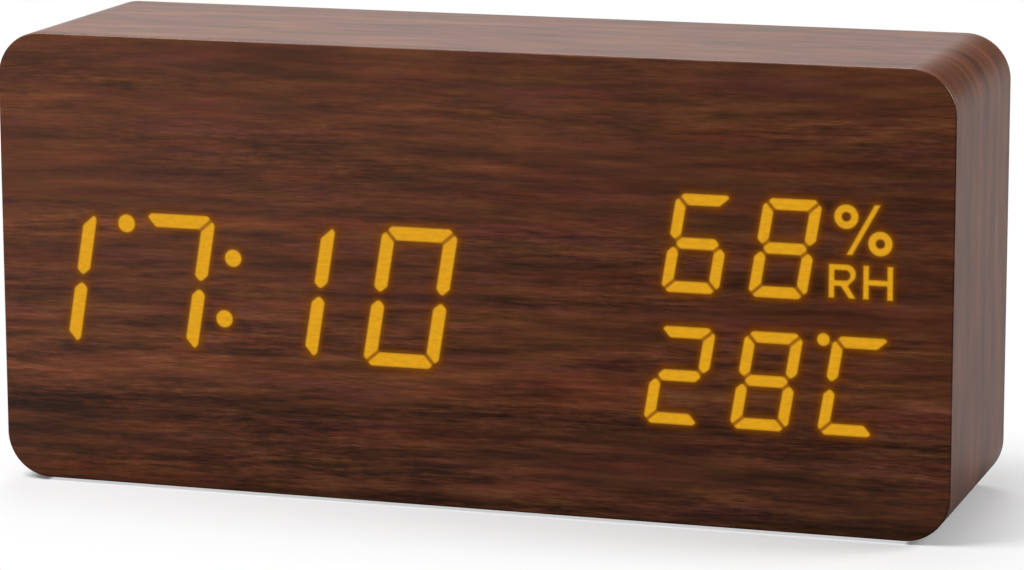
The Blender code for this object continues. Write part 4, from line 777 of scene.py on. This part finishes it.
def make_front(windows, islands, material):
    """The walnut film over the front, with a soft outer edge."""
    shape = bmesh.new()
    rings = []
    for step in range(EDGE_STEPS + 1):
        angle = math.radians(90 * step / EDGE_STEPS)
        inset = EDGE_RADIUS * (1 - math.cos(angle))
        rings.append(at(case_perimeter(inset), FRONT + EDGE_RADIUS * (1 - math.sin(angle))))
    flat = case_perimeter(EDGE_RADIUS)
    back = case_perimeter(0)
    loft(shape, [at(back, SHEET_BACK), *rings])
    support = [case_perimeter(EDGE_RADIUS + EDGE_SUPPORT)]
    for window in windows:
        support += [moved_out(window, distance) for distance in GLOW_RINGS]
    for island in islands:
        support += [moved_out(island, -distance) for distance in GLOW_RINGS[:3]]
    fill(shape, flat, windows, FRONT, support, islands)
    fill(shape, back, windows, SHEET_BACK, (), islands)
    for loop in windows + islands:
        loft(shape, [at(loop, FRONT), at(loop, SHEET_BACK)])
    piece = object_from(shape, "walnut_front_sheet", material)
    grain_from_place(piece)
    edge_distances(piece, "glow", windows + islands, GLOW_REACH, "gap")
    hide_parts("front_veneer")


def make_guide(node, windows, islands, material):
    """A light guide whose lit pillars fill the windows flush with the film."""
    slab_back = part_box(node)[1].y
    slab_outline = face_loops(node, slab_back)[0]
    if area(slab_outline) < 0:
        slab_outline.reverse()
    levels = sorted({round(v.co.y, 7) for v in frame["nodes"][node].data.vertices})
    slab_front = levels[-2]
    dark = []
    for level in levels[1:-2]:
        dark += [(loop, level) for loop in face_loops(node, level) if area(loop) > 0]
    lit = []
    for loop in face_loops(node, FRONT):
        if area(loop) > 0:
            spot = point_within(loop)
            lit += [window for window in windows if inside(spot, moved_out(window, GUIDE_GAP))]
    shape = bmesh.new()
    necks = [moved_out(window, -GUIDE_GAP) for window in lit]
    wells = [island for island in islands if any(inside(island[0], window) for window in lit)]
    fill(shape, slab_outline, [], slab_back)
    loft(shape, [at(slab_outline, slab_back), at(slab_outline, slab_front)])
    fill(shape, slab_outline, necks + [loop for loop, _ in dark], slab_front, (), wells)
    for loop, level in dark:
        loft(shape, [at(loop, slab_front), at(loop, level)])
        fill(shape, loop, [], level)
    lip = SHEET_BACK
    for window, neck in zip(lit, necks):
        own = [well for well in wells if inside(well[0], window)]
        loft(shape, [at(neck, slab_front), at(neck, lip), at(window, lip), at(window, FRONT)])
        rings = [moved_out(window, -distance) for distance in CORE_RINGS]
        for well in own:
            loft(shape, [at(well, slab_front), at(well, FRONT)])
            rings += [moved_out(well, distance) for distance in CORE_RINGS]
        fill(shape, window, own, FRONT, rings)
    piece = object_from(shape, f"lit_{node}", material)
    grain_from_place(piece)
    edge_distances(piece, "core", lit + wells, CORE_REACH)
    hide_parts(node)


def point_within(loop):
    """A point inside a lit outline, near its first corner."""
    before, here, after = Vector(loop[-1]), Vector(loop[0]), Vector(loop[1])
    inwards = (before - here).normalized() + (after - here).normalized()
    if inwards.length < 1e-3:
        inwards = Vector((-(after - here).y, (after - here).x))
    return here + 2 * GUIDE_GAP * inwards.normalized()


def make_wrap(material):
    """The walnut film round the case, its grain running round with it, and a hole for each foot."""
    outer, inner = case_perimeter(0), case_perimeter(WRAP_THICKNESS)
    travel = [0.0]
    for a, b in zip(outer, outer[1:] + outer[:1]):
        travel.append(travel[-1] + (Vector(b) - Vector(a)).length)
    support = REAR - EDGE_RADIUS - EDGE_SUPPORT
    rings = [(outer, SHEET_BACK), (outer, support)]
    for step in range(EDGE_STEPS + 1):
        angle = math.radians(90 * step / EDGE_STEPS)
        inset = EDGE_RADIUS * (1 - math.cos(angle))
        rings.append((case_perimeter(inset), REAR - EDGE_RADIUS * (1 - math.sin(angle))))
    rings += [(inner, REAR), (inner, SHEET_BACK), (outer, SHEET_BACK)]
    shape = bmesh.new()
    layer = shape.loops.layers.uv.new("grain")
    count = len(outer)
    corner_rings = [[shape.verts.new((x, y, z)) for x, z in loop] for loop, y in rings]
    open_rows = (0, 1, len(rings) - 3)
    for row, (ring, other) in enumerate(zip(corner_rings, corner_rings[1:])):
        for i in range(count - 1 if row in open_rows else count):
            j = (i + 1) % count
            face = shape.faces.new((ring[i], ring[j], other[j], other[i]))
            for corner, s in zip(face.loops, (i, i + 1, i + 1, i)):
                corner[layer].uv = (travel[s], corner.vert.co.y * WRAP_GRAIN_SCALE + WRAP_GRAIN_SHIFT)
    left, right = outer[-1][0], outer[0][0]
    holes = []
    for number in range(1, 5):
        low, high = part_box(f"foot_pad_{number}")
        middle = (low + high) / 2
        holes.append(circle(middle.x, middle.y, (high.x - low.x) / 2 + FOOT_ROOM))
    sides = (
        (CASE_BOTTOM, [SHEET_BACK, support, REAR - EDGE_RADIUS]),
        (CASE_BOTTOM + WRAP_THICKNESS, [SHEET_BACK, REAR]),
    )
    for z, depths in sides:
        strip = [(right, y) for y in depths] + [(left, y) for y in reversed(depths)]
        flat = bmesh.new()
        fill(flat, strip, holes, z)
        moved = {v: shape.verts.new((v.co.x, v.co.z, z)) for v in flat.verts}
        for face in flat.faces:
            made = shape.faces.new([moved[v] for v in face.verts])
            for corner in made.loops:
                s = travel[count - 1] + corner.vert.co.x - left
                corner[layer].uv = (s, corner.vert.co.y * WRAP_GRAIN_SCALE + WRAP_GRAIN_SHIFT)
        flat.free()
    for hole in holes:
        loops = [
            [(x, y, CASE_BOTTOM) for x, y in hole],
            [(x, y, CASE_BOTTOM + WRAP_THICKNESS) for x, y in hole],
        ]
        loft(shape, loops)
    piece = object_from(shape, "walnut_wrap", material)
    # The rounded rear edge, to be darker in the film's colour
    rims = [float(vertex.co.y > support + WELD) for vertex in piece.data.vertices]
    piece.data.attributes.new("rim", "FLOAT", "POINT").data.foreach_set("value", rims)
    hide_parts("case_wrap")


# The rear, its moving pieces and the battery bay


def softened(node, width, material, outer=None):
    """A copy of a rigid node with its sharp outer edges rounded, from plane outer backwards."""
    shape = bmesh.new()
    shape.from_mesh(frame["nodes"][node].data)
    bmesh.ops.remove_doubles(shape, verts=shape.verts, dist=WELD)
    flat = math.radians(FLAT_DEGREES)
    bmesh.ops.dissolve_limit(shape, angle_limit=flat, verts=shape.verts, edges=shape.edges)
    sharp = []
    for edge in shape.edges:
        seen = outer is None or all(vertex.co.y > outer for vertex in edge.verts)
        if seen and edge.is_convex and edge.calc_face_angle() > math.radians(SMOOTH_DEGREES):
            sharp.append(edge)
    bmesh.ops.bevel(
        shape,
        geom=sharp,
        offset=width,
        segments=SOFT_STEPS,
        profile=0.5,
        affect="EDGES",
        clamp_overlap=True,
    )
    return stand_for(shape, node, material)


def stand_for(shape, node, material):
    """Makes a bmesh the piece that shows in a node's place, on the node's body."""
    piece = object_from(shape, f"fine_{node}", material, frame["nodes"][node]["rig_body"])
    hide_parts(node)
    return piece


def turned(profile, middle, along, sides=ROUND_STEPS):
    """A solid turned round an axis from points of radius and distance. Its ends lie on the axis."""
    shape = bmesh.new()
    along = Vector(along)
    across = along.orthogonal().normalized()
    other = along.cross(across)
    rings = []
    for radius, reach in profile:
        centre = Vector(middle) + along * reach
        if radius < WELD:
            rings.append([shape.verts.new(centre)] * sides)
            continue
        turns = [2 * math.pi * i / sides for i in range(sides)]
        points = [centre + radius * (math.cos(a) * across + math.sin(a) * other) for a in turns]
        rings.append([shape.verts.new(p) for p in points])
    for ring, after in zip(rings, rings[1:]):
        for i in range(sides):
            j = (i + 1) % sides
            corners = dict.fromkeys((ring[i], ring[j], after[j], after[i]))
            shape.faces.new(list(corners))
    return shape


def make_buttons(material):
    """Round keys with soft rims, dished tops and a flange that keeps them behind the cover."""
    for name in ("set", "up", "down"):
        low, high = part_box(f"{name}_button")
        middle = (low + high) / 2
        depth = high.y - low.y
        profile = [
            (0, BUTTON_DISH),
            (BUTTON_DISH_RADIUS, 0),
            (BUTTON_RADIUS, 0),
            (BUTTON_RADIUS, depth - BUTTON_FLANGE),
            ((high.x - low.x) / 2, depth - BUTTON_FLANGE),
            ((high.x - low.x) / 2, depth),
            (0, depth),
        ]
        profile = rounded(profile, BUTTON_EDGE, SOFT_STEPS, closed=False)
        shape = turned(profile, (middle.x, high.y, middle.z), (0, -1, 0))
        stand_for(shape, f"{name}_button", material)


def make_cells(material):
    """Three cells, each a printed sleeve between bright ends. The nub points away from the spring."""
    for number in (1, 2, 3):
        low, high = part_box(f"battery_{number}")
        middle = (low + high) / 2
        radius, length = (high.z - low.z) / 2, high.x - low.x
        nub_right = number % 2 == 1
        start = high.x if nub_right else low.x
        profile = [
            (0, 0),
            (CELL_NUB_RADIUS, 0),
            (CELL_NUB_RADIUS, CELL_NUB_LENGTH),
            (CELL_SLEEVE_RADIUS, CELL_NUB_LENGTH),
            (CELL_SLEEVE_RADIUS, CELL_NUB_LENGTH - CELL_LIP),
            (radius, CELL_NUB_LENGTH - CELL_LIP),
            (radius, length),
            (CELL_SLEEVE_RADIUS, length),
            (CELL_SLEEVE_RADIUS - CELL_LIP, length - CELL_LIP),
            (CELL_NUB_RADIUS, length - CELL_LIP),
            (CELL_NUB_RADIUS - CELL_LIP, length),
            (0, length),
        ]
        profile = rounded(profile, CELL_EDGE, SOFT_STEPS, closed=False)
        place = next(i for i, (r, x) in enumerate(profile) if r > radius - WELD and x > length / 2)
        rings = [(radius, CELL_BAND), (radius, CELL_BAND + CELL_BAND_EDGE)]
        profile = profile[:place] + rings + profile[place:]
        shape = turned(profile, (start, middle.y, middle.z), (-1 if nub_right else 1, 0, 0))
        piece = stand_for(shape, f"battery_{number}", material)
        zones = []
        for vertex in piece.data.vertices:
            away = math.hypot(vertex.co.y - middle.y, vertex.co.z - middle.z)
            band = abs(vertex.co.x - start) < CELL_BAND + WELD
            sleeve = 0.5 if band else 1.0
            zones.append(sleeve if away > CELL_SLEEVE_RADIUS + WELD else 0.0)
        piece.data.attributes.new("zone", "FLOAT", "POINT").data.foreach_set("value", zones)


def helix(shape, start, side):
    """A tapered wire spring round X, from start towards side. Its first and last turns lie flat."""
    points = []
    count = round(SPRING_TURNS * SPRING_STEPS)
    for i in range(count + 1):
        turn = i / SPRING_STEPS
        climb = min(max((turn - SPRING_FLAT) / (SPRING_TURNS - 2 * SPRING_FLAT), 0), 1)
        radius = SPRING_RADIUS + (SPRING_TIP_RADIUS - SPRING_RADIUS) * climb - SPRING_WIRE
        reach = SPRING_WIRE + climb * (SPRING_LENGTH - 2 * SPRING_WIRE)
        outwards = Vector((0, math.cos(2 * math.pi * turn), math.sin(2 * math.pi * turn)))
        points.append((start + Vector((side * reach, 0, 0)) + radius * outwards, outwards))
    rings = []
    for i, (point, outwards) in enumerate(points):
        before, after = points[max(i - 1, 0)][0], points[min(i + 1, count)][0]
        other = (after - before).cross(outwards).normalized()
        ring = []
        for step in range(SPRING_SIDES):
            angle = 2 * math.pi * step / SPRING_SIDES
            ring.append(point + SPRING_WIRE * (math.cos(angle) * outwards + math.sin(angle) * other))
        rings.append(ring)
    first = len(shape.verts)
    loft(shape, rings)
    shape.verts.ensure_lookup_table()
    shape.faces.new(shape.verts[first : first + SPRING_SIDES])
    shape.faces.new(shape.verts[-SPRING_SIDES:])


def make_springs(material):
    """The contacts with wire springs in place of the solid cones that stand for them."""
    for node, (side, cell) in SPRING_CELLS.items():
        low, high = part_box(node)
        tip = high.x if side > 0 else low.x
        plate = tip - side * SPRING_LENGTH
        shape = bmesh.new()
        shape.from_mesh(frame["nodes"][node].data)
        bmesh.ops.remove_doubles(shape, verts=shape.verts, dist=WELD)
        cone = {v for v in shape.verts if side * (v.co.x - plate) > CONTACT_BUMP + WELD}
        faces = [face for face in shape.faces if cone.intersection(face.verts)]
        bmesh.ops.delete(shape, geom=faces, context="FACES")
        rim = [edge for edge in shape.edges if edge.is_boundary]
        bmesh.ops.contextual_create(shape, geom=rim)
        cell_low, cell_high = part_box(cell)
        middle = (cell_low + cell_high) / 2
        helix(shape, Vector((plate, middle.y, middle.z)), side)
        stand_for(shape, node, material)


def make_grip_ribs(material):
    """Ridges across the hollow by which a finger draws the door open."""
    low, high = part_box("battery_door")
    middle, scoop = (low.x + high.x) / 2, high.z - GRIP_INSET
    axis = high.y + GRIP_RADIUS - GRIP_DEPTH
    half = GRIP_LENGTH / 2 - GRIP_END
    angles = [math.pi * (step / GRIP_RIB_STEPS) for step in range(GRIP_RIB_STEPS + 1)]
    loop = [(math.cos(a), math.sin(a)) for a in angles] + [(-1, -1), (1, -1)]
    shape = bmesh.new()
    for number in range(GRIP_RIBS):
        z = scoop + (number - (GRIP_RIBS - 1) / 2) * GRIP_PITCH
        surface = axis - math.sqrt(GRIP_RADIUS**2 - (z - scoop) ** 2)
        ends = []
        for x, share in (
            (-half, GRIP_RIB_END_SHARE),
            (-half + GRIP_RIB, 1),
            (half - GRIP_RIB, 1),
            (half, GRIP_RIB_END_SHARE),
        ):
            size = GRIP_RIB * share
            ends.append([(middle + x, surface + size * v, z + size * u) for u, v in loop])
        first = len(shape.verts)
        loft(shape, ends)
        shape.verts.ensure_lookup_table()
        shape.faces.new(shape.verts[first : first + len(loop)])
        shape.faces.new(shape.verts[-len(loop) :])
    piece = object_from(shape, "door_grip_ribs", material, "door")


def make_key_marks(material):
    """A printed sign over each key: a ring to set, and a triangle to go up or down."""
    for name, sides in (("set", ROUND_STEPS), ("up", 3), ("down", 3)):
        low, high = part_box(f"{name}_button")
        x, z = (low.x + high.x) / 2, high.z + MARK_GAP
        turn = -math.pi / 2 if name == "down" else math.pi / 2
        angles = [turn + 2 * math.pi * i / sides for i in range(sides)]
        outline = [(x + MARK_RADIUS * math.cos(a), z + MARK_RADIUS * math.sin(a)) for a in angles]
        holes = [circle(x, z, MARK_RING_RADIUS)] if name == "set" else []
        if name != "set":
            outline = rounded(outline, MARK_CORNER, SOFT_STEPS)
        shape = bmesh.new()
        for y in (COVER_OUTER, COVER_OUTER + MARK_PROUD):
            fill(shape, outline, holes, y)
        for loop in [outline, *holes]:
            loft(shape, [at(loop, COVER_OUTER), at(loop, COVER_OUTER + MARK_PROUD)])
        piece = object_from(shape, f"{name}_key_mark", material)


def make_rear(materials):
    softened("rear_cover", SOFT_EDGE, materials["black_plastic"], COVER_OUTER - FIT)
    softened("battery_door", SOFT_EDGE, materials["black_plastic"], COVER_OUTER - DOOR_DEPTH)
    softened("power_jack", SOFT_EDGE, materials["black_plastic"])
    for number in (1, 2, 3, 4):
        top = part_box(f"cover_screw_{number}")[1].y
        softened(f"cover_screw_{number}", SCREW_EDGE, materials["steel"], top - FIT)
        softened(f"foot_pad_{number}", SOFT_EDGE, materials["foot_rubber"])
    make_buttons(materials["button_plastic"])
    make_cells(materials["cell_wrap"])
    make_springs(materials["steel"])
    make_grip_ribs(materials["black_plastic"])
    make_key_marks(materials["key_print"])


# The stage


def make_floor():
    """A white floor that keeps the clock's shadow and fades to the white behind it. To the eye, white
    light is painted over the shadow, most right under the case's edge; gloss sees a painted
    reflection, darkened near the clock as painted shade.
    """
    mesh = bpy.data.meshes.new("floor")
    corners = [(FLOOR_HALF * x, FLOOR_HALF * y, 0) for x, y in ((-1, -1), (1, -1), (1, 1), (-1, 1))]
    mesh.from_pydata(corners, [], [(0, 1, 2, 3)])
    floor = bpy.data.objects.new("floor", mesh)
    bpy.context.scene.collection.objects.link(floor)
    graph = new_material("floor")
    place = graph.add("TexCoord").outputs["Object"]
    path = graph.add("LightPath").outputs
    parts = graph.add("SeparateXYZ", (place,)).outputs
    # Painted reflection: what gloss sees of the floor is bright behind the clock and to its left, and
    # set by place to its right
    behind = graph.span(parts["Y"], -100 * MM, 50 * MM)
    left = graph.span(parts["X"], -20 * MM, -130 * MM)
    level = graph.ramp(graph.span(parts["X"], 60 * MM, 160 * MM), greys(PAINTED_REFLECTION_STOPS))
    bright = graph.math("MULTIPLY", graph.math("MAXIMUM", behind, left), level)
    beyond = []
    for axis, reach in (("X", CASE_RIGHT - CORNER_RADIUS), ("Y", REAR)):
        past = graph.math("SUBTRACT", graph.math("ABSOLUTE", parts[axis]), reach)
        beyond.append(graph.math("MAXIMUM", past, 0.0))
    beside = graph.add("CombineXYZ", (*beyond, 0.0)).outputs[0]
    away = graph.add("VectorMath", (beside,), operation="LENGTH").outputs["Value"]
    # Painted shade: that reflection darkens towards the clock
    bright = graph.math("MULTIPLY", bright, graph.span(away, 0.0, PAINTED_REFLECTION_FADE))
    eye = graph.math("MAXIMUM", path["Is Camera Ray"], path["Is Transmission Ray"])
    colour = graph.mix(eye, (0.20, 0.20, 0.20), (0.55, 0.545, 0.545))
    graph.set(Base_Color=colour, Roughness=0.9, Specular_IOR_Level=0.0)
    # Painted light: white mixed in to the eye over the shadow, most right under the case's edge, then
    # more with distance
    fade = graph.ramp(graph.span(away, 0.0, SHADOW_FADE), greys(FLOOR_FADE_STOPS))
    share = graph.math("MULTIPLY", fade, eye)
    share = graph.math("MAXIMUM", share, path["Is Glossy Ray"])
    strength = graph.math("MAXIMUM", bright, eye)
    white = graph.add("Emission", ((1, 1, 1, 1), strength)).outputs[0]
    both = graph.add("MixShader", (share, graph.shader.outputs[0], white)).outputs[0]
    graph.put(graph.tree.nodes["Material Output"].inputs["Surface"], both)
    mesh.materials.append(graph.owner)


def area_lamp(name, azimuth, elevation, distance, size, power):
    data = bpy.data.lights.new(name, "AREA")
    data.shape = "DISK"
    data.size = size
    data.energy = power
    lamp = bpy.data.objects.new(name, data)
    lamp.location = direction(azimuth, elevation) * distance
    lamp.rotation_euler = lamp.location.to_track_quat("Z", "Y").to_euler()
    bpy.context.scene.collection.objects.link(lamp)


def direction(azimuth, elevation):
    """From the origin to a place seen at an azimuth and elevation. Azimuth 0 is in front."""
    az, el = math.radians(azimuth), math.radians(elevation)
    return Vector((math.sin(az) * math.cos(el), -math.cos(az) * math.cos(el), math.sin(el)))


def make_world():
    """White to the eye. Gloss sees it bright behind the clock, dim before it and dark overhead."""
    world = bpy.data.worlds.new("studio")
    bpy.context.scene.world = world
    graph = Graph(world)
    path = graph.add("LightPath").outputs
    place = graph.add("TexCoord").outputs["Generated"]
    depth = graph.add("SeparateXYZ", (place,)).outputs["Y"]
    behind = graph.span(depth, -STUDIO_TURN, STUDIO_TURN, STUDIO_FRONT_LEVEL, STUDIO_BACK_LEVEL)
    upwards = graph.add("VectorMath", (place, STUDIO_DARK_SIDE), operation="DOT_PRODUCT")
    overhead = graph.span(upwards.outputs["Value"], *STUDIO_DARK_EDGE, 1.0, 0.0)
    shown = graph.math("MULTIPLY", behind, overhead)
    gloss = graph.add("Mix", (path["Is Glossy Ray"], None, STUDIO_PLAIN_LEVEL, shown)).outputs[0]
    strength = graph.add("Mix", (path["Is Camera Ray"], None, gloss, 1.0)).outputs[0]
    background = graph.tree.nodes["Background"]
    graph.put(background.inputs["Color"], (1, 1, 1, 1))
    graph.put(background.inputs["Strength"], strength)


def make_camera():
    data = bpy.data.cameras.new("camera")
    data.sensor_width = CAMERA_SENSOR
    data.lens = CAMERA_LENS
    camera = bpy.data.objects.new("camera", data)
    back = direction(CAMERA_AZIMUTH, CAMERA_ELEVATION)
    az, roll = math.radians(CAMERA_AZIMUTH), math.radians(CAMERA_ROLL)
    level = Vector((math.cos(az), math.sin(az), 0))
    up = back.cross(level)
    right = math.cos(roll) * level + math.sin(roll) * up
    up = math.cos(roll) * up - math.sin(roll) * level
    turn = Matrix((right, up, back)).transposed().to_4x4()
    camera.matrix_world = Matrix.Translation(CAMERA_TARGET + back * CAMERA_DISTANCE) @ turn
    bpy.context.scene.collection.objects.link(camera)
    bpy.context.scene.camera = camera


def dress(materials):
    """Gives each carried-over node the material of its slot."""
    for part in frame["record"]["subparts"]:
        node = frame["nodes"][part["node"]]
        if not node.hide_render:
            for slot in node.material_slots:
                slot.material = materials[part["material_slot"]]


def main():
    make_camera()
    make_world()
    make_floor()
    for lamp in LAMPS:
        area_lamp(*lamp)
    materials = make_materials()
    windows, islands = window_loops(), light_islands()
    make_front(windows, islands, materials["walnut_front"])
    for guide in GUIDES:
        make_guide(guide, windows, islands, materials["lit_segment"])
    make_wrap(materials["walnut_wrap"])
    make_rear(materials)
    dress(materials)
    bpy.context.scene.view_settings.view_transform = "Standard"


main()
